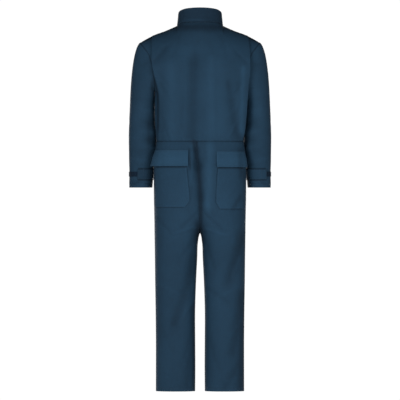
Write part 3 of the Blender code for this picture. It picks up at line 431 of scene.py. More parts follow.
def lengths(face, axis):
    """Distance travelled along each grid line from its start, by adding up the steps."""
    steps = np.linalg.norm(np.diff(face, axis=axis), axis=-1)
    zero = np.zeros_like(np.take(steps, [0], axis=axis))
    return np.concatenate([zero, np.cumsum(steps, axis=axis)], axis=axis)


def facing_out(face, inside, loop=False):
    """The grid with its columns in the order that makes it face away from an upright line at `inside`."""
    away = (face - np.array([*inside, 0.0])) * LEVEL
    return face if np.sum(normals(face, loop) * away) > 0 else face[:, ::-1]


def pushed(face, folds, still, fade):
    """The grid moved in or out the way it faces by a table of folds, times two shares from 0 to 1."""
    n = turned_to(normals(face), face * DEPTH)
    lift = fold_height(folds, face[..., 0], -face[..., 2]) * still * fade
    return face + n * (lift * np.abs(n[..., 1]) ** 0.5)[..., None]


def folded(face, folds, creases, fade, crease_fade=None):
    """Large folds, which stop short of the waist seam and the hem, then creases, which reach the seam."""
    still = eased(np.abs(-face[..., 2] - WAIST) / 0.035) * eased((HEM + face[..., 2]) / 0.03)
    face = pushed(face, folds, still, fade)
    near_hem = eased((HEM + face[..., 2]) / 0.02)
    return pushed(face, creases, near_hem, fade if crease_fade is None else crease_fade)


def inset(face, facing, edge, distance):
    """The line that lies this far in from one edge, measured along the cloth, and the way it faces."""
    turned = {
        "first": lambda g: g,
        "last": lambda g: g[:, ::-1],
        "top": lambda g: g.transpose(1, 0, 2),
        "bottom": lambda g: g[::-1].transpose(1, 0, 2),
    }[edge]
    grid, way = turned(face), turned(facing)
    far = lengths(grid, 1)
    k = np.clip(np.argmax(far > distance, axis=1), 1, None)
    i = np.arange(len(grid))
    t = ((distance - far[i, k - 1]) / (far[i, k] - far[i, k - 1]))[:, None]
    return grid[i, k - 1] * (1 - t) + grid[i, k] * t, unit(way[i, k - 1] * (1 - t) + way[i, k] * t)


def panel_relief(face, table):
    """The deepest trough plus the highest ridge, drawn narrower than the folds: painted shade, painted highlight
    and wear.
    """
    x, down = face[..., 0], -face[..., 2]
    lifts = [fold_height([(*row[:4], 0.75 * row[4], row[5])], x, down) for row in table]
    return np.minimum(np.min(lifts, axis=0), 0.0) + np.maximum(np.max(lifts, axis=0), 0.0)


def edge_dip(face, loop, edges, depth=0.0009, width=0.0045, pucker=0.0, seed=0.0):
    """Cloth rolls down into a seam: each seam edge sinks by depth * exp(-(d/width)^2), a little unevenly."""
    n = normals(face, loop)
    across, along = lengths(face, 1), lengths(face, 0)
    sink = np.zeros(face.shape[:2])
    runs = {
        "first": (across, along),
        "last": (across[:, -1:] - across, along),
        "top": (along, across),
        "bottom": (along[-1:] - along, across),
    }
    for number, edge in enumerate(edges):
        away, travel = runs[edge]
        sink += depth * np.exp(-((away / width) ** 2))
        near = np.exp(-((away / 0.014) ** 2)) * eased(away / 0.003)
        sink -= pucker * ripple(travel, 0.021, seed + number) * near
    return n, sink


# %% [markdown]
# ## From a grid to a thin wall
# A shell has an outer face, an inner face one cloth thickness behind it, and rims round its edges, so it is a
# closed body. Its UV map is the cloth laid flat, in metres, with the grain line down the middle, so the weave
# keeps its scale everywhere. Three more values go to the material: how far a point is from a seam and from the
# nearest row of stitches, and its relief: painted shade below 0, in folds and hollows, and painted highlight,
# partly wear, above it.

# %% Shell builder
SHELLS = {}


def shell(
    name, face, finish, thickness=CLOTH, loop=False, level=(), inside=(0.0, 0.0), seams=(), rows=(), relief=None
):
    """Closes a grid into a wall. `seams` are sewn edges, `rows` are stitch rows as (edge, distance)."""
    relief = np.zeros(face.shape[:2]) if relief is None else relief
    turned = facing_out(face, inside, loop)
    relief = relief if turned is face else relief[:, ::-1]
    face = turned
    behind = normals(face, loop)
    for edge in level:
        behind[edge] = unit(behind[edge] * np.array([1.0, 1.0, 0.0]))
    closed = np.concatenate([face, face[:, :1]], axis=1) if loop else face
    across, along = lengths(closed, 1), lengths(closed, 0)
    away = {"first": across, "last": across[:, -1:] - across, "top": along, "bottom": along[-1:] - along}
    far = np.full(closed.shape[:2], 0.5)
    seam = np.min([away[edge] for edge in seams] + [far], axis=0)
    stitch = np.min([np.abs(away[edge] - distance) for edge, distance in rows] + [far], axis=0)
    plan = np.stack([across - across[:, -1:] / 2, -along.mean(axis=1, keepdims=True) + 0 * across], axis=-1)

    count_rows, count_columns = face.shape[:2]
    number = np.arange(count_rows * count_columns).reshape(count_rows, count_columns)
    wide = np.concatenate([number, number[:, :1]], axis=1) if loop else number
    place = np.arange(closed.shape[0] * closed.shape[1]).reshape(closed.shape[:2])

    def quads(grid):
        return np.stack([grid[:-1, :-1], grid[:-1, 1:], grid[1:, 1:], grid[1:, :-1]], axis=-1).reshape(-1, 4)

    total = number.size
    faces, corners = [quads(wide)[:, ::-1], quads(wide) + total], [quads(place)[:, ::-1], quads(place)]
    lines = [(wide[0], place[0]), (wide[-1, ::-1], place[-1, ::-1])]
    if not loop:
        lines += [(wide[::-1, 0], place[::-1, 0]), (wide[:, -1], place[:, -1])]
    for line, spot in lines:
        p, q, ps, qs = line[:-1], line[1:], spot[:-1], spot[1:]
        faces.append(np.stack([p, q, q + total, p + total], axis=-1))
        corners.append(np.stack([ps, qs, qs, ps], axis=-1))
    faces, corners = np.concatenate(faces), np.concatenate(corners)
    points = np.concatenate([face.reshape(-1, 3), (face - thickness * behind).reshape(-1, 3)])
    mesh = bpy.data.meshes.new(name)
    mesh.from_pydata(points.tolist(), [], faces.tolist())
    flat = mesh.uv_layers.new(name="cloth")
    flat.data.foreach_set("uv", plan.reshape(-1, 2)[corners.reshape(-1)].astype(np.float32).ravel())
    for label, values in (("seam", seam), ("stitch", stitch), ("relief", relief)):
        kept = values[:, :count_columns]
        attribute = mesh.attributes.new(label, "FLOAT", "POINT")
        attribute.data.foreach_set("value", np.tile(kept.reshape(-1), 2).astype(np.float32))
    mesh.shade_smooth()
    mesh.set_sharp_from_angle(angle=math.radians(60))
    mesh.materials.append(finish)
    made = bpy.data.objects.new(name, mesh)
    bpy.context.scene.collection.objects.link(made)
    SHELLS[name] = (closed, np.concatenate([behind, behind[:, :1]], axis=1) if loop else behind)
    return made


def cut_size(name):
    """The flat cut of a shell: its widest row, its longest column, and the area of its outer face."""
    grid = SHELLS[name][0]
    width, length = lengths(grid, 1)[:, -1].max(), lengths(grid, 0)[-1].max()
    one = np.cross(grid[:-1, 1:] - grid[:-1, :-1], grid[1:, :-1] - grid[:-1, :-1])
    two = np.cross(grid[1:, :-1] - grid[1:, 1:], grid[:-1, 1:] - grid[1:, 1:])
    area = (np.linalg.norm(one, axis=-1).sum() + np.linalg.norm(two, axis=-1).sum()) / 2
    return float(width), float(length), float(area)


def dress(made, node):
    """Hides the CAD node that a shell stands for, sets the shell riding on the suit and prints its flat size."""
    width, length, area = cut_size(made.name)
    flat, area = (round(width, 3), round(length, 3)), min(area, width * length)
    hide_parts(node)
    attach(made, "suit")
    print(f"{made.name}: {width:.3f} x {length:.3f} m, {area:.4f} m2, {len(made.data.polygons)} faces")


# %% [markdown]
# ## Materials
# The suit is a dense cotton twill, dyed navy. Up close it shows fine diagonal lines. From a step away it is
# matt, with painted highlight and some wear on its ridges, and painted shade in its folds and beside its seams.
# One node group draws the weave and one the seams and stitch channels. Both read the cloth's own UV map and
# distances, so they follow every panel.

# %% Node groups
def group(name, inputs, outputs):
    """A shader node group with float or colour sockets, and its two end nodes."""
    tree = bpy.data.node_groups.new(name, "ShaderNodeTree")
    for label, kind, value in inputs:
        socket = tree.interface.new_socket(name=label, in_out="INPUT", socket_type=kind)
        if value is not None:
            socket.default_value = value
    for label, kind in outputs:
        tree.interface.new_socket(name=label, in_out="OUTPUT", socket_type=kind)
    return tree, tree.nodes.new("NodeGroupInput"), tree.nodes.new("NodeGroupOutput")


def maths(tree, operation, *values, clamp=False):
    """A Math node whose inputs are numbers or other nodes' sockets. Gives its output socket."""
    node = tree.nodes.new("ShaderNodeMath")
    node.operation, node.use_clamp = operation, clamp
    for socket, value in zip(node.inputs, values):
        if isinstance(value, bpy.types.NodeSocket):
            tree.links.new(value, socket)
        else:
            socket.default_value = value
    return node.outputs[0]


def noise(tree, vector, scale, detail=2.0, roughness=0.5):
    """A noise texture of this scale. Gives its value socket."""
    node = tree.nodes.new("ShaderNodeTexNoise")
    node.inputs["Scale"].default_value = scale
    node.inputs["Detail"].default_value = detail
    node.inputs["Roughness"].default_value = roughness
    tree.links.new(vector, node.inputs["Vector"])
    return node.outputs[0]


def mixed(tree, amount, dark, light):
    """A colour between two others. Gives its colour socket."""
    node = tree.nodes.new("ShaderNodeMix")
    node.data_type = "RGBA"
    node.inputs["A"].default_value = (*dark, 1.0)
    node.inputs["B"].default_value = (*light, 1.0)
    tree.links.new(amount, node.inputs["Factor"])
    return node.outputs["Result"]


def bump(tree, height, distance, strength=1.0, normal=None):
    """A bump this many metres high, on top of another one if given. Gives its normal socket."""
    node = tree.nodes.new("ShaderNodeBump")
    node.inputs["Distance"].default_value = distance
    node.inputs["Strength"].default_value = strength
    tree.links.new(height, node.inputs["Height"])
    if normal is not None:
        tree.links.new(normal, node.inputs["Normal"])
    return node.outputs[0]


def line_at(tree, distance, steepness):
    """1 on a line and 0 beyond 1 / steepness metres from it. Gives its value socket."""
    return maths(tree, "SUBTRACT", 1.0, maths(tree, "MULTIPLY", distance, steepness), clamp=True)


def new_material(name):
    """A material with its node tree, its shader and the sockets of the object's own coordinates."""
    made = bpy.data.materials.new(name)
    made.use_nodes = True
    tree = made.node_tree
    return made, tree, tree.nodes["Principled BSDF"], tree.nodes.new("ShaderNodeTexCoord").outputs["Object"]


def build_twill():
    """Twill: a wave of crossing threads in u and v, with a diagonal step of one thread each row."""
    tree, start, end = group(
        "twill_weave",
        [("Cloth", "NodeSocketVector", None), ("Threads per metre", "NodeSocketFloat", 1300.0)],
        [("Height", "NodeSocketFloat"), ("Tone", "NodeSocketFloat")],
    )
    split = tree.nodes.new("ShaderNodeSeparateXYZ")
    tree.links.new(start.outputs["Cloth"], split.inputs[0])
    pitch = start.outputs["Threads per metre"]
    u = maths(tree, "MULTIPLY", split.outputs[0], pitch)
    v = maths(tree, "MULTIPLY", split.outputs[1], pitch)
    diagonal = maths(tree, "MULTIPLY", maths(tree, "ADD", u, v), 2 * math.pi / 3)
    rib = maths(tree, "ADD", maths(tree, "MULTIPLY", maths(tree, "SINE", diagonal), 0.5), 0.5)
    across = maths(tree, "SINE", maths(tree, "MULTIPLY", u, 2 * math.pi))
    thread = maths(tree, "ADD", maths(tree, "MULTIPLY", across, 0.25), 0.75)
    slub = noise(tree, start.outputs["Cloth"], 260.0, 3.0, 0.6)
    height = maths(tree, "ADD", maths(tree, "MULTIPLY", rib, thread), maths(tree, "MULTIPLY", slub, 0.5))
    tone = maths(tree, "ADD", maths(tree, "MULTIPLY", rib, 0.10), maths(tree, "MULTIPLY", slub, 0.16))
    tree.links.new(height, end.inputs["Height"])
    tree.links.new(tone, end.inputs["Tone"])
    return tree


def build_sewing():
    """Seams and channels: a rounded ridge beside a seam, a groove along each stitch row, and their painted
    shade.
    """
    distances = [("Seam", "NodeSocketFloat", 0.5), ("Stitch", "NodeSocketFloat", 0.5)]
    tree, start, end = group(
        "sewn_lines",
        [*distances, ("Cloth", "NodeSocketVector", None)],
        [("Height", "NodeSocketFloat"), ("Shade", "NodeSocketFloat")],
    )
    seam, stitch = start.outputs["Seam"], start.outputs["Stitch"]
    ridge = line_at(tree, maths(tree, "ABSOLUTE", maths(tree, "SUBTRACT", seam, 0.0035)), 330.0)
    dip, channel, pull = line_at(tree, seam, 300.0), line_at(tree, stitch, 620.0), line_at(tree, stitch, 130.0)
    pucker = noise(tree, start.outputs["Cloth"], 170.0, 1.0)
    uneven = maths(tree, "MULTIPLY", pull, maths(tree, "SUBTRACT", pucker, 0.5))
    height = maths(tree, "MULTIPLY", ridge, 0.5)
    for part, share in ((dip, -1.0), (channel, -0.7), (uneven, 1.2)):
        height = maths(tree, "ADD", height, maths(tree, "MULTIPLY", part, share))
    dip_shade, channel_shade = maths(tree, "MULTIPLY", dip, 0.50), maths(tree, "MULTIPLY", channel, 0.22)
    shade = maths(tree, "ADD", dip_shade, channel_shade, clamp=True)
    tree.links.new(height, end.inputs["Height"])
    tree.links.new(shade, end.inputs["Shade"])
    return tree


TWILL, SEWN = build_twill(), build_sewing()


# %% [markdown]
# Each cloth material joins those groups. The base colour runs between a dark and a pale navy. A broad and a
# fine noise, the twill's tone and the relief, which is painted shade and highlight, make it paler or darker,
# and the seams' painted shade takes from it. The bump adds the weave, the sewing and a very soft unevenness.
# What is the same all over sits on the shader.

# %% Cloth materials
# The relief is painted shade in folds and hollows, and a painted highlight, partly wear, on ridges.
PAINTED_RELIEF_TONE = 36.0  # how much paler a ridge is than flat cloth, per metre of its height
CLOUDS, MOTTLES, UNEVEN = 5.0, 46.0, 30.0  # scales of the broad, the fine and the bumpy noise


def cloth_material(name, dark, light, roughness=0.86, threads=1300.0, weave_depth=0.00014):
    """Cloth of one weave: its colours, its roughness, its threads a metre and how deep they stand."""
    made, tree, shader, spot = new_material(name)
    shader.inputs["Specular IOR Level"].default_value = 0.06
    cloth = tree.nodes.new("ShaderNodeUVMap")
    cloth.uv_map = "cloth"
    marks = {}
    for label in ("seam", "stitch", "relief"):
        marks[label] = tree.nodes.new("ShaderNodeAttribute")
        marks[label].attribute_name = label
    weave = tree.nodes.new("ShaderNodeGroup")
    weave.node_tree = TWILL
    weave.inputs["Threads per metre"].default_value = threads
    sewn = tree.nodes.new("ShaderNodeGroup")
    sewn.node_tree = SEWN
    tree.links.new(cloth.outputs[0], weave.inputs["Cloth"])
    tree.links.new(cloth.outputs[0], sewn.inputs["Cloth"])
    tree.links.new(marks["seam"].outputs["Fac"], sewn.inputs["Seam"])
    tree.links.new(marks["stitch"].outputs["Fac"], sewn.inputs["Stitch"])
    cloudy = noise(tree, spot, CLOUDS, 3.0, 0.55)
    mottled = noise(tree, spot, MOTTLES, 4.0, 0.65)
    amount = maths(tree, "ADD", maths(tree, "MULTIPLY", cloudy, 0.35), maths(tree, "MULTIPLY", mottled, 0.20))
    amount = maths(tree, "ADD", amount, maths(tree, "ADD", weave.outputs["Tone"], 0.10))
    amount = maths(tree, "ADD", amount, maths(tree, "MULTIPLY", marks["relief"].outputs["Fac"], PAINTED_RELIEF_TONE))
    amount = maths(tree, "SUBTRACT", amount, sewn.outputs["Shade"], clamp=True)
    tree.links.new(mixed(tree, amount, dark, light), shader.inputs["Base Color"])
    rough = maths(tree, "ADD", maths(tree, "MULTIPLY", mottled, 0.14), roughness - 0.07)
    tree.links.new(rough, shader.inputs["Roughness"])
    soft = bump(tree, noise(tree, spot, UNEVEN, 3.0), 0.004, 0.16)
    sewing = bump(tree, sewn.outputs["Height"], 0.0007, normal=soft)
    fine = bump(tree, weave.outputs["Height"], weave_depth, normal=sewing)
    tree.links.new(fine, shader.inputs["Normal"])
    return made


def thread_material(name, dark, light):
    """Spun thread: its colour varies along it with a fine grain."""
    made, tree, shader, spot = new_material(name)
    shader.inputs["Specular IOR Level"].default_value = 0.15
    shader.inputs["Roughness"].default_value = 0.6
    tree.links.new(mixed(tree, noise(tree, spot, 900.0), dark, light), shader.inputs["Base Color"])
    return made


def metal_material(name, colour, roughness):
    """Dull plated metal: its roughness and tone vary with fine scratches and handling marks."""
    made, tree, shader, spot = new_material(name)
    shader.inputs["Metallic"].default_value = 1.0
    marks = noise(tree, spot, 420.0, 4.0, 0.6)
    rough = maths(tree, "ADD", maths(tree, "MULTIPLY", marks, 0.25), roughness)
    tree.links.new(rough, shader.inputs["Roughness"])
    tree.links.new(mixed(tree, marks, [c * 0.7 for c in colour], colour), shader.inputs["Base Color"])
    tree.links.new(bump(tree, marks, 0.00006), shader.inputs["Normal"])
    return made


NAVY = cloth_material("navy_twill_cloth", (0.0020, 0.0062, 0.0118), (0.0078, 0.0236, 0.0430))
# The collar's cloth is a darker copy of the navy twill: painted shade.
SHADED_COLLAR_NAVY = cloth_material("navy_collar_cloth_painted_shade", (0.0012, 0.0038, 0.0072), (0.0052, 0.0150, 0.0280))
TAPE = cloth_material("zip_tape_cloth", (0.0030, 0.0080, 0.0150), (0.0080, 0.0200, 0.0360), threads=2400.0)
LOOP = cloth_material("loop_pile", (0.0007, 0.0025, 0.0058), (0.0031, 0.0090, 0.0188), 0.95, 900.0, 0.0006)
YARN = thread_material("navy_thread", (0.0050, 0.0150, 0.0280), (0.0100, 0.0280, 0.0490))
METAL = metal_material("plated_metal", (0.20, 0.20, 0.205), 0.46)

# %% [markdown]
# ## The bodice
# A worn shirt is a set of rings that round over at the shoulders. Below the armpits each row is level. Above
# them, rows fan out from the armhole to the neck and shoulder seams. The back is cut in one with a pleat down
# each side: its panel folds under itself, runs back, then comes out again to the side seam, which gives the
# wearer's arms room. The hidden layers are built too, because they show as strips beside the fold.

# %% Shared lines of the bodice
LOW_ROWS = np.linspace(WAIST, ARMPIT + 0.006, 54)
ARM_ANGLES = np.radians(np.linspace(180, 0, 61))
RISE = (1.0 + np.cos(ARM_ANGLES)) / 2.0


def neck_seam(angle):
    """A point of the neck seam: an oval ring whose height follows the sine of its angle, low in front."""
    s = np.sin(angle)
    return np.stack([NECK_X * np.cos(angle), NECK_Y * s, 0.004 + 0.0275 * s - 0.0115 * s**2], axis=-1)


def shoulder_height(x):
    """The shoulder seam's height: a slope less a shallow bell and a square term that rounds its end."""
    out = np.maximum(x - NECK_X, 0.0)
    hollow = SHOULDER_HOLLOW * np.exp(-(((x - 0.147) / 0.036) ** 2)) * eased(out / 0.02)
    return 0.004 - SHOULDER_SLOPE * out - hollow - 1.57 * np.maximum(x - 0.17, 0.0) ** 2


def top_line(x, forwards, rise):
    """Depth and height at the top of the cloth for a row at this rise: the seams, or a softer line below."""
    seam = neck_seam(np.arccos(np.clip(x / NECK_X, 0.0, 1.0)) * forwards)
    y, z = np.where(x < NECK_X, seam[..., 1], 0.0), np.where(x < NECK_X, seam[..., 2], shoulder_height(x))
    u = np.clip(x / SOFT_X, 0.0, 1.0)
    middle, outer_z = neck_seam(np.array(math.pi / 2 * forwards)), shoulder_height(SOFT_X)
    level = (2 * u**3 - 3 * u**2 + 1) * middle[2] + (3 * u**2 - 2 * u**3) * outer_z
    soft_z = np.where(x < SOFT_X, level - (u**3 - u**2) * SOFT_X * SHOULDER_SLOPE, shoulder_height(x))
    soft_y = middle[1] * (1.0 - u**2) ** 2
    share = np.clip((rise - SOFT_RISE) / (1.0 - SOFT_RISE), 0.0, 1.0) ** 2
    return soft_y + (y - soft_y) * share, soft_z + (z - soft_z) * share


ARMHOLE_TOP = -shoulder_height(SHOULDER_X)


def armhole(angle, branch):
    """A point of the armhole seam: half an ellipse in depth and height, with its x from the table."""
    middle, half = (ARMHOLE_TOP + ARMPIT) / 2, (ARMPIT - ARMHOLE_TOP) / 2
    sign = 1.0 if branch == "back" else -1.0
    x = curve(ARMHOLE, branch, np.degrees(angle))
    return np.stack([x, sign * ARMHOLE_DEPTH * np.sin(angle), -middle + half * np.cos(angle)], axis=-1)


def shoulder_round(rise, part):
    """How full the body still is: (1 - r^p)^(1/p), which is 1 below and 0 at the top seams."""
    power = 1.5 + 0.6 * eased(part / 0.6)
    over = np.clip((rise - 0.32) / 0.68, 0.0, 1.0)
    return (1.0 - over**power) ** (1.0 / power)


def top_columns(start, end, outer=22):
    """Where the columns lie: even steps of angle under the collar, then even steps to the shoulder."""
    neck = NECK_X * np.sin(np.radians(np.arange(0, 91, 3.0)))
    neck[0] = start
    return np.concatenate([neck, NECK_X + (end - NECK_X) * np.linspace(0.0, 1.0, outer)[1:]])


# %% [markdown]
# The back panel's rows are written as two blocks of whole arrays, one below the armpit and one above. The pleat
# then grows from the panel's last column: a half turn, a straight run inwards, a tighter half turn, and a curve
# out to the side seam.

# %% Back bodice
def back_half(side):
    """Half of the back, from the middle to the side seam, rows from the waist up."""
    top_reach = curve(PLEAT, side, 0.038)
    part = top_columns(0.0, top_reach) / top_reach
    down = LOW_ROWS[:, None]
    middle, edge = curve(BODY, "back", down), curve(PLEAT, "depth", down)
    y = middle - (middle - edge) * part ** curve(PLEAT, "flat", down)
    low = np.stack([curve(PLEAT, side, down) * part, y, 0 * y - down], axis=-1)
    rise = RISE[:, None]
    top_y, top_z = top_line(top_reach * part, 1.0, rise)
    z = -ARMPIT + rise * (top_z + ARMPIT)
    edge_down = -z[:, -1:]
    middle, edge = curve(BODY, "back", -z[:, :1]), curve(PLEAT, "depth", edge_down)
    full = middle - (middle - edge) * part ** curve(PLEAT, "flat", edge_down)
    y = top_y + (full - top_y) * shoulder_round(rise, part)
    high = np.stack([curve(PLEAT, side, edge_down) * part, y, z], axis=-1)
    shown = mirrored(np.concatenate([low, high]), side)
    calm = eased(shown[..., 1] / 0.05)
    shown = folded(shown, BACK_FOLDS, BACK_CREASES, calm, calm * eased((1.0 - part) / 0.06))
    shown[:, 0, 0] = 0.0
    shown = mirrored(shown, side)
    sides = curve(BODY, "side", LOW_ROWS)
    ends = np.concatenate([np.stack([sides, 0 * sides, -LOW_ROWS], axis=-1), armhole(ARM_ANGLES, "back")])
    return np.concatenate([shown, pleat(shown, ends)], axis=1)


def pleat(shown, ends):
    """The layers under the fold: half circles of two radii, a straight run, and a cubic out to the seam."""
    level = np.arange(len(shown)) < len(LOW_ROWS)
    out, run = -normals(shown), unit(np.gradient(shown, axis=1))
    for way in (out, run):
        way[level, :, 2] = 0.0
    out, run = unit(out), unit(run)
    edge, edge_out, across = shown[:, -1], out[:, -1], run[:, -1]
    turn = np.linspace(0.0, math.pi, 9)
    bend = [edge + FOLD_OUT * (across * math.sin(a) - edge_out * (1 - math.cos(a))) for a in turn[1:]]
    tuck = []
    for a in turn:
        point, way = inset(shown, out, "last", PLEAT_TUCK + FOLD_IN * math.sin(a))
        tuck.append(point - way * (2 * FOLD_OUT + FOLD_IN * (1 - math.cos(a))))
    run_in = [bend[-1] + (tuck[0] - bend[-1]) * t for t in (0.25, 0.5, 0.75)]
    start = edge - edge_out * (2 * FOLD_OUT + 2 * FOLD_IN)
    run_out = [tuck[-1] + (start - tuck[-1]) * t for t in (0.25, 0.5, 0.75)]
    span = np.linalg.norm(ends - start, axis=-1, keepdims=True)
    low = (np.arange(len(ends)) <= len(LOW_ROWS))[:, None]
    fullness = np.concatenate([np.ones(len(LOW_ROWS)), 1.0 - RISE**2])[:, None]
    arrive = np.where(low, np.array([0.0, -1.0, 0.0]), unit(ends - start - edge_out * span * fullness)) * span
    outward = []
    for u in np.linspace(0.0, 1.0, 13):
        point = (2 * u**3 - 3 * u**2 + 1) * start + (u**3 - 2 * u**2 + u) * across * span * 0.1
        outward.append(point + (3 * u**2 - 2 * u**3) * ends + (u**3 - u**2) * arrive)
    return np.stack([*bend, *run_in, *tuck, *run_out, *outward], axis=1)


def pleat_painted_shade(face):
    """Painted shade on the underlay under the left fold's edge, and a painted highlight where it comes out
    again.
    """
    down = -face[..., 2]
    past = face[..., 0] - curve(PLEAT, "left", down)
    shown = eased((down - 0.19) / 0.03) * eased((0.46 - down) / 0.05)
    pale = 0.0050 * np.exp(-(((past - 0.0165) / 0.004) ** 2))
    return shown * (pale - 0.012 * np.exp(-(((past - 0.0070) / 0.004) ** 2)))


right_half = mirrored(back_half("right"), "right")
back = np.concatenate([right_half[:, :0:-1], back_half("left")], axis=1)[::-1]
n, sink = edge_dip(back, False, ("top", "bottom"), pucker=0.0005, seed=0.4)
back = back - n * sink[..., None]
back_bodice = shell(
    "back_bodice_cloth", back, NAVY, level=(-1,), relief=panel_relief(back, ALL_BACK) + pleat_painted_shade(back),
    seams=("top", "bottom", "first", "last"), rows=(("bottom", 0.005), ("top", 0.005)),
)
dress(back_bodice, "back_bodice")


# %% [markdown]
# The fronts are the same kind of rings without a pleat. They are hidden from behind and kept plain: soft folds
# run in from the armholes, and the edges beside the zip are pressed and stitched.

# %% Front bodice
ZIP_EDGE = {"left": "last", "right": "first"}  # the edge of each finished front that lies beside the zip


def front_bodice_face(side):
    """A front from the zip to the side seam, rows from the waist up: superellipse sections that round over."""
    top_x = top_columns(ZIP_GAP, SHOULDER_X)
    part = (top_x - ZIP_GAP) / (SHOULDER_X - ZIP_GAP)
    low_spread = np.sin(part**0.8 * math.pi / 2) ** (2 / FRONT_SQUARE)
    down = LOW_ROWS[:, None]
    width, depth = curve(BODY, "side", down), curve(BODY, "front", down)
    x = ZIP_GAP + (width - ZIP_GAP) * low_spread
    y = -depth * np.clip(1 - (x / width) ** FRONT_SQUARE, 0, 1) ** (1 / FRONT_SQUARE)
    low = np.stack([x, y, 0 * x - down], axis=-1)
    rise, end = RISE[:, None], armhole(ARM_ANGLES, "front")
    top_y, top_z = top_line(top_x, -1.0, rise)
    spread = low_spread + (part - low_spread) * eased(rise)
    x = ZIP_GAP + (end[:, :1] - ZIP_GAP) * spread
    z = -ARMPIT + rise * (top_z + ARMPIT)
    depth = curve(BODY, "front", -z[:, :1])
    full = end[:, 1:2] - (depth + end[:, 1:2]) * np.clip(1 - spread**FRONT_SQUARE, 0, 1) ** (1 / FRONT_SQUARE)
    y = top_y + (full - top_y) * shoulder_round(rise, part)
    high = np.stack([x, y, z], axis=-1)
    high[:, -1, 1:] = end[:, 1:]
    return mirrored(np.concatenate([low, high])[::-1], side)


for side in ("left", "right"):
    face = front_bodice_face(side)
    open_cloth = eased((1.0 - np.abs(face[..., 0]) / np.abs(face[:, -1:, 0])) / 0.25)
    face = folded(face, FRONT_FOLDS, FRONT_CREASES, open_cloth * eased(np.abs(face[..., 0]) / 0.03))
    n, sink = edge_dip(face, False, ("top", "bottom"), pucker=0.0005, seed=1.7)
    face = face - turned_to(n, face * DEPTH) * sink[..., None]
    made = shell(
        f"front_bodice_{side}_cloth", face, NAVY, level=(-1,), relief=panel_relief(face, ALL_FRONT),
        seams=("top", "bottom", "first", "last"),
        rows=((ZIP_EDGE[side], 0.006), ("top", 0.005), ("bottom", 0.005)),
    )
    dress(made, f"front_bodice_{side}")
print("bodice done")


# %% [markdown]
# ## The legs and seat
# A leg is a ring of its own at every height. Above the crotch the two rings overlap, and each panel is cut off
# at the middle, which gives the curved seam between the legs. The back panels carry the deep fold of the seat.

# %% Legs
def leg_rings(down, angle):
    """A superellipse ring: x = cos^p and y = sin^p of the angle, from the side seam over the back."""
    outer, inner = curve(LEG, "outer", down), curve(LEG, "inner", down)
    middle, half = (outer + inner) / 2, (outer - inner) / 2
    power = 2.0 / curve(LEG, "square", down)
    depth = np.where(np.sin(angle) > 0, curve(LEG, "back", down), curve(LEG, "front", down))
    x = middle + half * np.sign(np.cos(angle)) * np.abs(np.cos(angle)) ** power
    y = depth * np.sign(np.sin(angle)) * np.abs(np.sin(angle)) ** power
    return np.stack([x, y, np.broadcast_to(-down, x.shape)], axis=-1)


def leg_angle(down, x):
    """The angle at which a ring passes a distance x from the middle."""
    outer, inner = curve(LEG, "outer", down), curve(LEG, "inner", down)
    reach = np.clip((x - (outer + inner) / 2) / ((outer - inner) / 2), -1.0, 1.0)
    return np.arccos(np.sign(reach) * np.abs(reach) ** (curve(LEG, "square", down) / 2.0))


def side_fade(face):
    """1 over open cloth and 0 beside the side seam, and beside the inseam below the crotch."""
    down = -face[..., 2]
    outer, inner = curve(LEG, "outer", down), curve(LEG, "inner", down)
    fade = eased((outer - np.abs(face[..., 0])) / 0.03 + np.abs(face[..., 1]) / 0.12)
    below = eased((down - CROTCH + 0.02) / 0.04)
    return fade * (1.0 - below * (1.0 - eased((np.abs(face[..., 0]) - inner) / 0.02)))


FORK = 0.79  # from here to the crotch the rows lie closer
LEG_ROWS = np.concatenate([
    np.linspace(WAIST, FORK, 66)[:-1],
    np.linspace(FORK, CROTCH, 30)[:-1],
    CROTCH + (HEM - CROTCH) * np.linspace(0, 1, 110) ** 1.15,
])
SEAT_SEAM = {"down": (WAIST, 0.53, 0.60, 0.70), "across": (0.014, 0.011, 0.006, 0.0)}


def leg_face(branch, side, columns=56):
    """A leg panel from its centre seam and inseam to its side seam, with its folds and creases."""
    down = LEG_ROWS[:, None]
    middle = HAND[side] * np.interp(down, SEAT_SEAM["down"], SEAT_SEAM["across"])
    gap = np.where(down <= ZIP_END, ZIP_GAP, 0.0) if branch == "front" else middle
    part = np.linspace(0.0, 1.0, columns)[None, :] ** 1.1
    angle = leg_angle(down, gap) * (1.0 - part)
    face = mirrored(leg_rings(down, angle if branch == "back" else -angle), side)
    centre = face[:, 0, 0].copy()
    large, small = (BACK_FOLDS, BACK_CREASES) if branch == "back" else (FRONT_FOLDS, FRONT_CREASES)
    face = folded(face, large, small, side_fade(face) * eased(np.abs(face[..., 1]) / 0.05))
    face[:, 0, 0] = centre
    return face


for side, hand in HAND.items():
    for branch in ("back", "front"):
        face = leg_face(branch, side)
        n, sink = edge_dip(face, False, ("top", "first", "last"), pucker=0.0005, seed=2.6 * hand)
        n = turned_to(n, face - np.array([LEG_MIDDLE * hand, 0, 0]))
        centre = face[:, 0, 0].copy()
        face = face - n * (sink * np.abs(n[..., 1]) ** 0.5)[..., None]
        face[:, 0, 0] = np.where(LEG_ROWS <= CROTCH, centre, face[:, 0, 0])
        centre_edge = "last" if (branch == "back") == (side == "right") else "first"
        made = shell(
            f"{branch}_leg_{side}_cloth", face, NAVY, level=(0, -1), inside=(LEG_MIDDLE * hand, 0.0),
            relief=panel_relief(face, ALL_BACK if branch == "back" else ALL_FRONT),
            seams=("top", "first", "last"), rows=(("bottom", LEG_HEM), (centre_edge, 0.004)),
        )
        dress(made, f"{branch}_leg_{side}")


# %% [markdown]
# ## Sleeves
# A sleeve is one piece, sewn along the underarm. Its head leaves the armhole in line with the shoulder and a
# cubic curve bends it down into the arm's rings. Its creases bunch at the elbow and above the cuff.

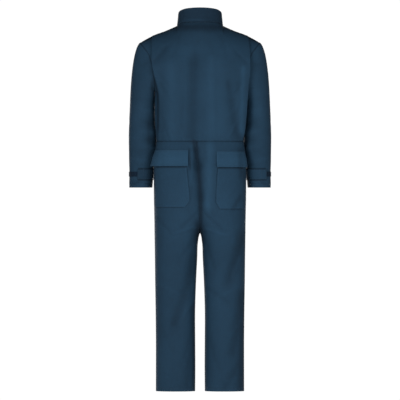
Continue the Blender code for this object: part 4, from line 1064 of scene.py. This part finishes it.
# %% Sleeves
def sleeve_rings(down, angle):
    """An ellipse ring of the arm: x and y follow the cosine and sine of the angle."""
    outer, inner = curve(SLEEVE, "outer", down), curve(SLEEVE, "inner", down)
    x = (outer + inner) / 2 + (outer - inner) / 2 * np.cos(angle)
    y = curve(SLEEVE, "middle", down) + curve(SLEEVE, "depth", down) * np.sin(angle)
    return np.stack([x, y, np.broadcast_to(-down, x.shape)], axis=-1)


def sleeve_relief(down, angle):
    """Creases round the arm, each a bell in height and in angle, calmed at the cuff's edge."""
    lift = np.zeros(np.broadcast(down, angle).shape)
    for at, centre, half_height, half_angle, height in SLEEVE_FOLDS + SLEEVE_CREASES:
        slant = (np.degrees(angle) - centre + 180) % 360 - 180
        level = at + 0.00012 * slant
        lift += height * np.exp(-(((down - level) / half_height) ** 2) - (slant / half_angle) ** 2)
    return lift * eased((CUFF - down) / 0.012)


UNDERARM = 0.0024  # how much nearer the sleeve lies to the body just below the armhole


def sleeve_face(side, columns=72):
    """A sleeve from its armhole to its cuff: a cubic from the seam to the arm's first ring, then rings."""
    angle = np.linspace(0.0, 2 * math.pi, columns, endpoint=False)
    seam = np.where((angle <= math.pi)[:, None], armhole(angle, "back"), armhole(2 * math.pi - angle, "front"))
    seam[:, 1] = ARMHOLE_DEPTH * np.sin(angle)
    first = sleeve_rings(np.array(SLEEVE["down"][0]), angle)
    span = np.linalg.norm(first - seam, axis=-1, keepdims=True)
    top = (1 + np.cos(angle))[:, None] / 2
    leave = unit(top * np.array([0.81, 0.0, -0.58]) + (1 - top) * np.array([0.46, 0.0, -0.89]))
    leave = leave * span * (0.35 + 0.07 * top)
    arrive = np.array([0.03, 0.0, -1.0]) * span * 1.15
    u = (np.linspace(0.0, 1.0, 44)[:-1] ** 1.15)[:, None, None]
    head = (2 * u**3 - 3 * u**2 + 1) * seam + (u**3 - 2 * u**2 + u) * leave
    head = head + (3 * u**2 - 2 * u**3) * first + (u**3 - u**2) * arrive
    arm = sleeve_rings(np.linspace(SLEEVE["down"][0], CUFF, 78)[:, None], angle[None, :])
    face = np.concatenate([head, arm])
    calm = eased(lengths(face, 0) / 0.030)
    face = face - normals(face, True) * (calm * sleeve_relief(-face[..., 2], angle))[..., None]
    rest = np.exp(-(((face[..., 2] + 0.276) / 0.020) ** 2) - ((face[..., 1] + 0.034) / 0.020) ** 2)
    face[..., 0] -= UNDERARM * rest * (face[..., 0] < 0.21)
    n, sink = edge_dip(face, True, ("top",), depth=0.0001, pucker=0.0006, seed=0.9)
    return mirrored(face + n * sink[..., None], side)


TABS = {"left": (73.0, 0.003), "right": (52.0, 0.004)}  # where each tab ends, in degrees, and its slant
TAB_SEWN = 205.0  # where each tab is sewn on, in degrees
SLEEVE_SHADE = (
    # side, across, down, half width, half height, height: on the back, painted shade, and a painted highlight
    # above 0
    ("left", 0.2000, 0.250, 0.007, 0.030, -0.0100),
    ("left", 0.2135, 0.445, 0.011, 0.085, -0.0075),
    ("right", 0.2430, 0.360, 0.035, 0.200, 0.0035),
)
CUFF_SHADE = (
    # down, angle, half height, half angle, height: painted shade in the crinkles above the cuff's edge
    (0.6500, 75, 0.003, 14, -0.0080),
    (0.6570, 60, 0.003, 12, -0.0070),
    (0.6535, 125, 0.003, 14, -0.0080),
)


def sleeve_painted_shading(face, side):
    """Painted shade in folds and crinkles and beside the body, painted highlights on ridges, painted tab
    shadows.
    """
    angle = np.linspace(0.0, 2 * math.pi, face.shape[1], endpoint=False)
    down, degrees = -face[..., 2], np.degrees(angle)
    end, slant = TABS[side]
    under = eased((degrees - end) / 6.0 + 0.5) * eased((TAB_SEWN - degrees) / 6.0)
    painted_sleeve_tone = sleeve_relief(down, angle)
    for on_side, across, at, half_width, half_height, height in SLEEVE_SHADE:
        if on_side == side:
            off = (np.abs(face[..., 0]) - across) / half_width
            painted_sleeve_tone += height * np.exp(-(off**2) - ((down - at) / half_height) ** 2) * (degrees < 180.0)
    for at, centre, half_height, half_angle, height in CUFF_SHADE:
        painted_sleeve_tone += height * np.exp(-(((down - at) / half_height) ** 2) - ((degrees - centre) / half_angle) ** 2)
    for line, lean in ((0.5920, 0.0), (0.6392, slant)):
        level = line + lean * np.clip((degrees - end) / (TAB_SEWN - end), 0.0, 1.0)
        painted_sleeve_tone -= 0.013 * under * np.exp(-(((down - level) / 0.0024) ** 2))
    return painted_sleeve_tone


for side, hand in HAND.items():
    face = sleeve_face(side)
    made = shell(
        f"sleeve_{side}_cloth", face, NAVY, loop=True, level=(-1,),
        inside=(SLEEVE_MIDDLE[0] * hand, SLEEVE_MIDDLE[1]),
        relief=sleeve_painted_shading(face, side), seams=("top",), rows=SLEEVE_STITCHES,
    )
    dress(made, f"sleeve_{side}")


# %% [markdown]
# ## Collar
# The stand collar is two layers sewn together, taller behind than in front, and it leans in a little to the
# neck. A row of stitches runs beside each of its edges.

# %% Collar
def collar_face():
    """A ring from one side of the zip round the back to the other, with its height from a sine curve."""
    start = math.degrees(math.asin(ZIP_GAP / NECK_X))
    angle = np.radians(np.linspace(-90 + start, 270 - start, 121))
    s = np.sin(angle)
    base = neck_seam(angle)
    top_z = 0.0530 + 0.040 * s + np.where(s > 0, -0.0132, 0.0090) * s**2
    part = np.linspace(1.0, 0.0, 19)[:, None]
    heights = (0.0, 0.12, 0.33, 0.66, 1.0)
    side_in = np.interp(part, heights, (0.0, 0.14, 0.38, 0.70, 1.0))
    back_in = np.interp(part, heights, (0.0, 0.66, 0.96, 1.0, 1.0))
    x = (NECK_X + (COLLAR_X - NECK_X) * side_in) * np.cos(angle)
    y = (NECK_Y + (COLLAR_Y - NECK_Y) * back_in) * s
    face = np.stack([x, y, base[:, 2] + (top_z - base[:, 2]) * part], axis=-1)
    face[:, 0, 0], face[:, -1, 0] = ZIP_GAP, -ZIP_GAP
    wave = 0.0007 * ripple(np.arange(121) * 0.0045, 0.06, 0.8) * np.sin(np.pi * np.linspace(0, 1, 121))
    return face + normals(face) * (wave * eased(part / 0.5))[..., None]


def collar_painted_highlight(face):
    """A painted highlight behind: a pale bell 6 mm above the neck seam, where the layers inside stand up."""
    above = face[..., 2] - neck_seam(np.linspace(-math.pi / 2, 1.5 * math.pi, face.shape[1]))[:, 2]
    bell = np.exp(-(((above - 0.0060) / 0.0060) ** 2) - ((face[..., 0] - 0.02) / 0.050) ** 2)
    return 0.0130 * bell * (face[..., 1] > 0)


face = collar_face()
collar = shell("collar_cloth", face, SHADED_COLLAR_NAVY, COLLAR_CLOTH, relief=collar_painted_highlight(face), rows=COLLAR_STITCHES)
dress(collar, "collar")


# %% [markdown]
# ## Pockets, flaps, tabs and strips
# What lies on a panel is made from the panel's own points, moved out by the cloth's thickness, so it follows
# every fold beneath it. A flap is sewn at its top and stands off the pocket towards its free edge.

# %% Pockets and flaps
POCKETS = {
    "left": {"down": (0.560, 0.620, 0.690, 0.7275, 0.7545), "inner": (0.0560, 0.0510, 0.0440, 0.0420, 0.0640)},
    "right": {"down": (0.565, 0.620, 0.690, 0.7330, 0.7620), "inner": (0.0740, 0.0700, 0.0660, 0.0650, 0.0820)},
}
FLAPS = {
    "left": {"down": (0.5146, 0.537, 0.560, 0.583), "inner": (0.0500, 0.0490, 0.0480, 0.0464)},
    "right": {"down": (0.5204, 0.542, 0.565, 0.5870), "inner": (0.0690, 0.0688, 0.0690, 0.0705)},
}
POCKET_ANGLE = {"left": 21.0, "right": 26.0}  # where each ends near the side seam, in degrees round the leg
FLAP_ANGLE = {"left": 11.0, "right": 15.0}
FLAP_STAND = 0.0045  # how far a flap's free edge stands off the pocket
FLARE = {"left": 0.0085, "right": 0.0010}  # how much further it stands off at its outer corner
# painted highlight along each pocket's and flap's inner edge, stronger on the left
EDGE_PAINTED_HIGHLIGHT = {"left": 0.012, "right": 0.004}


def seat_patch(table, side, outer_angle, downs, columns, lift):
    """Points of the back leg between an inner edge and an angle near the side seam, moved out by lift."""
    down = np.asarray(downs)[:, None]
    inner = np.interp(down, table["down"], table["inner"])
    part = np.linspace(0.0, 1.0, columns)[None, :]
    angle = leg_angle(down, inner) * (1 - part) + math.radians(outer_angle) * part
    face = mirrored(leg_rings(down, angle), side)
    face = folded(face, BACK_FOLDS, BACK_CREASES, side_fade(face) * eased(np.abs(face[..., 1]) / 0.05))
    return face + turned_to(normals(face), DEPTH) * (lift(down, part) + TRIM + POCKET_LIFT)[..., None]


def edge_painted_highlight(face, side):
    """A painted highlight just in from the inner edge, where the folded layers stand up: a bell 2 mm from it."""
    return EDGE_PAINTED_HIGHLIGHT[side] * np.exp(-(((lengths(face, 1) - 0.0022) / 0.0022) ** 2))


def hem_painted_shading(face):
    """Painted shade where a pocket's bottom edge turns under, a painted highlight 7 mm above, over the fold
    inside.
    """
    up = lengths(face, 0)[-1] - lengths(face, 0)
    return 0.0030 * np.exp(-(((up - 0.007) / 0.0015) ** 2)) - 0.0060 * np.exp(-((up / 0.0015) ** 2))


def flap_shadow(face, side):
    """A painted shadow on a pocket: a dark line 2 mm below its flap's free edge."""
    below = -face[..., 2] - (FLAPS[side]["down"][-1] + 0.002)
    return 0.016 * np.exp(-((below / 0.0045) ** 2))


for side, hand in HAND.items():
    table, inside = POCKETS[side], (LEG_MIDDLE * hand, 0.0)
    top, corner, bottom = table["down"][0], table["down"][-2], table["down"][-1]
    downs = np.concatenate([np.linspace(top, corner, 44), np.linspace(corner, bottom, 9)[1:]])

    def pocket_lift(down, part):
        """Pocket cloth bags slightly in the middle and lies flat at its stitched edges."""
        share = np.clip((down - top) / (bottom - top), 0, 1)
        belly = 0.0016 * np.sin(math.pi * part) * np.sin(math.pi * share)
        return belly + 0.00035 * ripple(down + part * 0.12, 0.045, 1.1 * hand)

    face = seat_patch(table, side, POCKET_ANGLE[side], downs, 50, pocket_lift)
    # Painted light on the pocket: paler all over, with the painted shade and highlights of the folds, edge and
    # hem.
    painted_patch_tone = panel_relief(face, ALL_BACK) + 0.0030 + edge_painted_highlight(face, side) + hem_painted_shading(face)
    made = shell(
        f"pocket_{side}_cloth", face, NAVY, TRIM, inside=inside, relief=painted_patch_tone - flap_shadow(face, side),
        seams=("bottom", "first", "last"), rows=POCKET_STITCHES + (("bottom", 0.010),),
    )
    dress(made, f"pocket_{side}")

    table = FLAPS[side]
    top, bottom = table["down"][0], table["down"][-1]

    def flap_lift(down, part):
        """Starts on the leg, clears the pocket below it, and waves a little at its free edge."""
        free = (down - top) / (bottom - top)
        over = TRIM + 2 * POCKET_LIFT
        wave = 0.0010 * ripple(part * 0.13, 0.055, 0.6 + hand) * free**1.5
        return over * eased(free / 0.5) + free**1.5 * (FLAP_STAND + FLARE[side] * part**2) + wave

    face = seat_patch(table, side, FLAP_ANGLE[side], np.linspace(top, bottom, 26), 56, flap_lift)
    # Painted light on the flap: paler all over, with the painted shade and highlights of the folds and its edge.
    painted_patch_tone = panel_relief(face, ALL_BACK) + 0.0120 + edge_painted_highlight(face, side)
    made = shell(
        f"flap_{side}_cloth", face, NAVY, TRIM, inside=inside, relief=painted_patch_tone, seams=("top",), rows=FLAP_STITCHES
    )
    dress(made, f"flap_{side}")


# %% [markdown]
# Each wrist closes with a tab over a strip of loop pile. The strip is short soft fuzz, so it is darker and
# rougher than the twill beside it.

# %% Cuff tabs and strips
STRIP = 0.0012  # thickness of the loop pile
UNDER_TRIM = 0.0008  # how far a strip or a tab stands off the sleeve
FREE_END = {"left": "last", "right": "first"}  # the edge of each tab that closes over the strip
# painted shade: the left tab is painted darker all over
TAB_SHADE = {"left": -0.0055, "right": 0.0}
BOX = 0.025  # from a tab's free end to the inner side of its stitched box


def cuff_patch(side, angles, downs, columns, rows, lift, thickness, slant=0.0):
    """A strip round the sleeve between two angles and two drops, moved out by lift."""
    part = np.linspace(0.0, 1.0, columns)[None, :]
    edge = np.linspace(0.0, 1.0, rows)[:, None]
    angle = np.radians(angles[0] + (angles[1] - angles[0]) * part)
    down = downs[0] + (downs[1] - downs[0]) * edge + slant * part * edge
    face = sleeve_rings(down, angle + 0 * down)
    n = turned_to(normals(face), (face - np.array([*CUFF_MIDDLE, 0.0])) * LEVEL)
    return mirrored(face + n * (lift(part) + thickness + 0 * edge)[..., None], side)


def strip_lift(part):
    """Level all along."""
    return UNDER_TRIM + 0 * part


def tab_lift(part):
    """Higher over the loop strip at the tab's free end, then down to the sleeve."""
    return UNDER_TRIM + (STRIP + 0.0006) * (1.0 - eased((part - 0.16) / 0.35))


for side, hand in HAND.items():
    tab_end, slant = TABS[side]
    inside = (CUFF_MIDDLE[0] * hand, CUFF_MIDDLE[1])
    face = cuff_patch(side, (-35.0, tab_end + 22.0), (0.6049, 0.6249), 44, 9, strip_lift, STRIP)
    rows = (("top", 0.002), ("bottom", 0.002))
    made = shell(f"cuff_strip_{side}_cloth", face, LOOP, STRIP, inside=inside, rows=rows)
    dress(made, f"cuff_strip_{side}")
    face = cuff_patch(side, (tab_end, TAB_SEWN), (0.5936, 0.6370), 64, 17, tab_lift, TRIM, slant)
    made = shell(
        f"cuff_tab_{side}_cloth", face, NAVY, TRIM, inside=inside, seams=("top", "bottom", "first"),
        rows=TAB_STITCHES + ((FREE_END[side], BOX),), relief=np.full(face.shape[:2], TAB_SHADE[side]),
    )
    dress(made, f"cuff_tab_{side}")


# %% [markdown]
# ## Zip
# A tape runs behind both fronts. The teeth stand in two rows that mesh, each tooth a small block with a
# sloping head, all in one joined mesh. The slider and its pull tab keep their CAD shapes and get a plated
# finish.

# %% Zip tape and teeth
def centre_front():
    """Depth and height down the middle of the front, from the collar's top to the end of the zip."""
    collar_z = np.linspace(0.0205, COLLAR_FRONT_Z + 0.0015, 12)
    bodice = front_bodice_face("left")[1:, 0]
    down = np.linspace(0.482, ZIP_END, 30)
    y = np.concatenate([0 * collar_z - COLLAR_Y, bodice[:, 1], -curve(LEG, "front", down)])
    return y, np.concatenate([collar_z, bodice[:, 2], -down])


TAPE_HALF, TAPE_CLOTH = 0.011, 0.0010  # half the tape's width, and its thickness
line_y, line_z = centre_front()
x = np.linspace(TAPE_HALF, -TAPE_HALF, 7)[None, :]
tape = np.stack([x + 0 * line_y[:, None], line_y[:, None] + 0 * x, line_z[:, None] + 0 * x], axis=-1)
on_collar = (line_z > COLLAR_FRONT_Z)[:, None]
tape = tape - turned_to(normals(tape), -DEPTH) * (COLLAR_CLOTH + 0.0009 + 0.0004 * on_collar)[..., None]
zip_tape = shell("zip_tape_cloth", tape, TAPE, TAPE_CLOTH)
dress(zip_tape, "zip_tape")


def repeated(points, faces, places, *directions):
    """Copies of one small mesh, set at each place with its own three directions, as one set of arrays."""
    across, along, out = (points[None, :, i : i + 1] * way[:, None] for i, way in enumerate(directions))
    shift = (np.arange(len(places)) * len(points))[:, None, None]
    moved = (across + along + out + places[:, None]).reshape(-1, 3)
    return moved, (np.asarray(faces)[None] + shift).reshape(-1, np.shape(faces)[1])


def joined_mesh(name, points, faces, finish, slot):
    """One object from arrays of points and faces, smooth, riding on the suit."""
    mesh = bpy.data.meshes.new(name)
    mesh.from_pydata(points.tolist(), [], faces.tolist())
    mesh.shade_smooth()
    mesh.set_sharp_from_angle(angle=math.radians(40))
    mesh.materials.append(finish)
    made = bpy.data.objects.new(name, mesh)
    bpy.context.scene.collection.objects.link(made)
    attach(made, "suit")
    return made


def evenly(path, pitch):
    """Points at an even pitch along a polyline, how far along each is, and how far along its own points are."""
    step = np.linalg.norm(np.diff(path, axis=0), axis=1)
    far = np.concatenate([[0.0], np.cumsum(step)])
    at = np.arange(pitch / 2, far[-1], pitch)
    points = np.stack([np.interp(at, far, path[:, i]) for i in range(3)], axis=-1)
    return points, at, far


TOOTH_PITCH, TOOTH_SUNK = 0.0022, 0.0006
tooth_points = np.array([
    # across, along, out: the four corners behind, then the four in front, where the head slopes back
    (-0.0026, -0.0006, -0.0009), (0.0006, -0.0006, -0.0009),
    (0.0006, 0.0006, -0.0009), (-0.0026, 0.0006, -0.0009),
    (-0.0026, -0.0006, 0.0009), (0.0000, -0.0006, 0.0012),
    (0.0000, 0.0006, 0.0012), (-0.0026, 0.0006, 0.0009),
])
tooth_faces = [(3, 2, 1, 0), (4, 5, 6, 7), (0, 1, 5, 4), (1, 2, 6, 5), (2, 3, 7, 6), (3, 0, 4, 7)]
centres, _, _ = evenly(np.stack([0 * line_y, line_y, line_z], axis=-1), TOOTH_PITCH)
along = unit(np.gradient(centres, axis=0))
out = unit(np.stack([0 * along[:, 0], along[:, 2], -along[:, 1]], axis=-1))
out = np.where((out[:, 1:2] < 0), out, -out)
sets = []
for first, hand in enumerate(HAND.values()):
    pick = np.arange(len(centres)) % 2 == first
    across = np.tile([-hand, 0.0, 0.0], (pick.sum(), 1))
    faces = tooth_faces if hand > 0 else [f[::-1] for f in tooth_faces]
    places = centres[pick] - out[pick] * TOOTH_SUNK
    sets.append(repeated(tooth_points, faces, places, across, along[pick], out[pick]))


def joined(sets):
    """One set of points and faces from several."""
    shift = np.cumsum([0] + [len(points) for points, _ in sets])
    faces = np.concatenate([faces + s for (_, faces), s in zip(sets, shift)])
    return np.concatenate([points for points, _ in sets]), faces


teeth = joined_mesh("zip_teeth", *joined(sets), METAL, "zip_metal")
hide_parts("zip_chain")
for node in ("zip_slider", "zip_pull"):
    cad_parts[node].data.materials.clear()
    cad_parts[node].data.materials.append(METAL)
print("teeth:", len(centres))

# %% [markdown]
# ## Stitches
# Topstitching is what holds a work suit together, so it shows on every edge. Each stitch is a small spindle of
# thread, thickest in the middle, laid in the channel that the material draws. A row follows a line at a set
# distance from an edge, and all rows of one region are joined into one mesh.

# %% Stitch rows
STITCH_PITCH, STITCH_LENGTH, THREAD, STITCH_UP = 0.0036, 0.0028, 0.00042, 0.00012
ring = np.array([(1, 0), (0, 1), (-1, 0), (0, -1)], float)
spindle = [(0.0, -STITCH_LENGTH / 2, 0.0)]
for at, size in ((-0.30, 0.85), (0.0, 1.0), (0.30, 0.85)):
    spindle += [(THREAD * size * a, at * STITCH_LENGTH, THREAD * size * 0.8 * b) for a, b in ring]
spindle.append((0.0, STITCH_LENGTH / 2, 0.0))
spindle = np.array(spindle)
spindle_faces = [(0, 1 + (k + 1) % 4, 1 + k) for k in range(4)]
for level in (1, 5):
    for k in range(4):
        a, b = level + k, level + (k + 1) % 4
        spindle_faces += [(a, b, b + 4), (a, b + 4, a + 4)]
spindle_faces += [(13, 9 + k, 9 + (k + 1) % 4) for k in range(4)]


def stitch_row(shell_name, edge, distance, start=0.0, stop=1.0):
    """Stitches along a line in from an edge of a shell, from one part of its length to another."""
    face, facing = SHELLS[shell_name]
    line, way = inset(face, facing, edge, distance)
    centres, at, far = evenly(line, STITCH_PITCH)
    ways = unit(np.stack([np.interp(at, far, way[:, i]) for i in range(3)], axis=-1))
    run = unit(np.gradient(centres, axis=0))
    share = at / far[-1]
    chosen = (share >= start) & (share <= stop)
    side = unit(np.cross(run, ways))
    places = (centres + ways * STITCH_UP)[chosen]
    return repeated(spindle, spindle_faces, places, side[chosen], run[chosen], ways[chosen])


def on_both(piece, stitches):
    """The same rows of stitches on the left and the right piece of a pair."""
    return [(f"{piece}_{side}_cloth", *row) for side in HAND for row in stitches]


def stitched(name, rows):
    """Joins rows of stitches into one mesh."""
    points, faces = joined([stitch_row(*row) for row in rows])
    joined_mesh(name, points, faces, YARN, "navy_twill")
    print(f"{name}: {len(faces) // len(spindle_faces)} stitches")


SHOWN = (0.17, 0.83)  # the share of the back's width that lies between the pleats, where stitches can be sewn
stitched("stitches_bodice", [
    ("back_bodice_cloth", "bottom", 0.005, *SHOWN), ("back_bodice_cloth", "top", 0.005, *SHOWN),
    *[("collar_cloth", *row) for row in COLLAR_STITCHES],
    *[(f"front_bodice_{side}_cloth", ZIP_EDGE[side], 0.006) for side in HAND],
    *on_both("front_bodice", [("bottom", 0.005)]),
])
stitched("stitches_sleeves", [
    *on_both("sleeve", SLEEVE_STITCHES), *on_both("cuff_tab", TAB_STITCHES),
    *[(f"cuff_tab_{side}_cloth", FREE_END[side], BOX) for side in HAND],
])
stitched("stitches_legs", [
    (f"{branch}_leg_{side}_cloth", "bottom", LEG_HEM) for side in HAND for branch in ("back", "front")
])
stitched("stitches_pockets", on_both("pocket", POCKET_STITCHES) + on_both("flap", FLAP_STITCHES))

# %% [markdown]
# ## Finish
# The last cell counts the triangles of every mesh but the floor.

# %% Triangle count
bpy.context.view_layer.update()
suit = [thing for thing in bpy.data.objects if thing.type == "MESH" and thing.name != "floor"]
print("triangles in all:", sum(len(face.vertices) - 2 for thing in suit for face in thing.data.polygons))
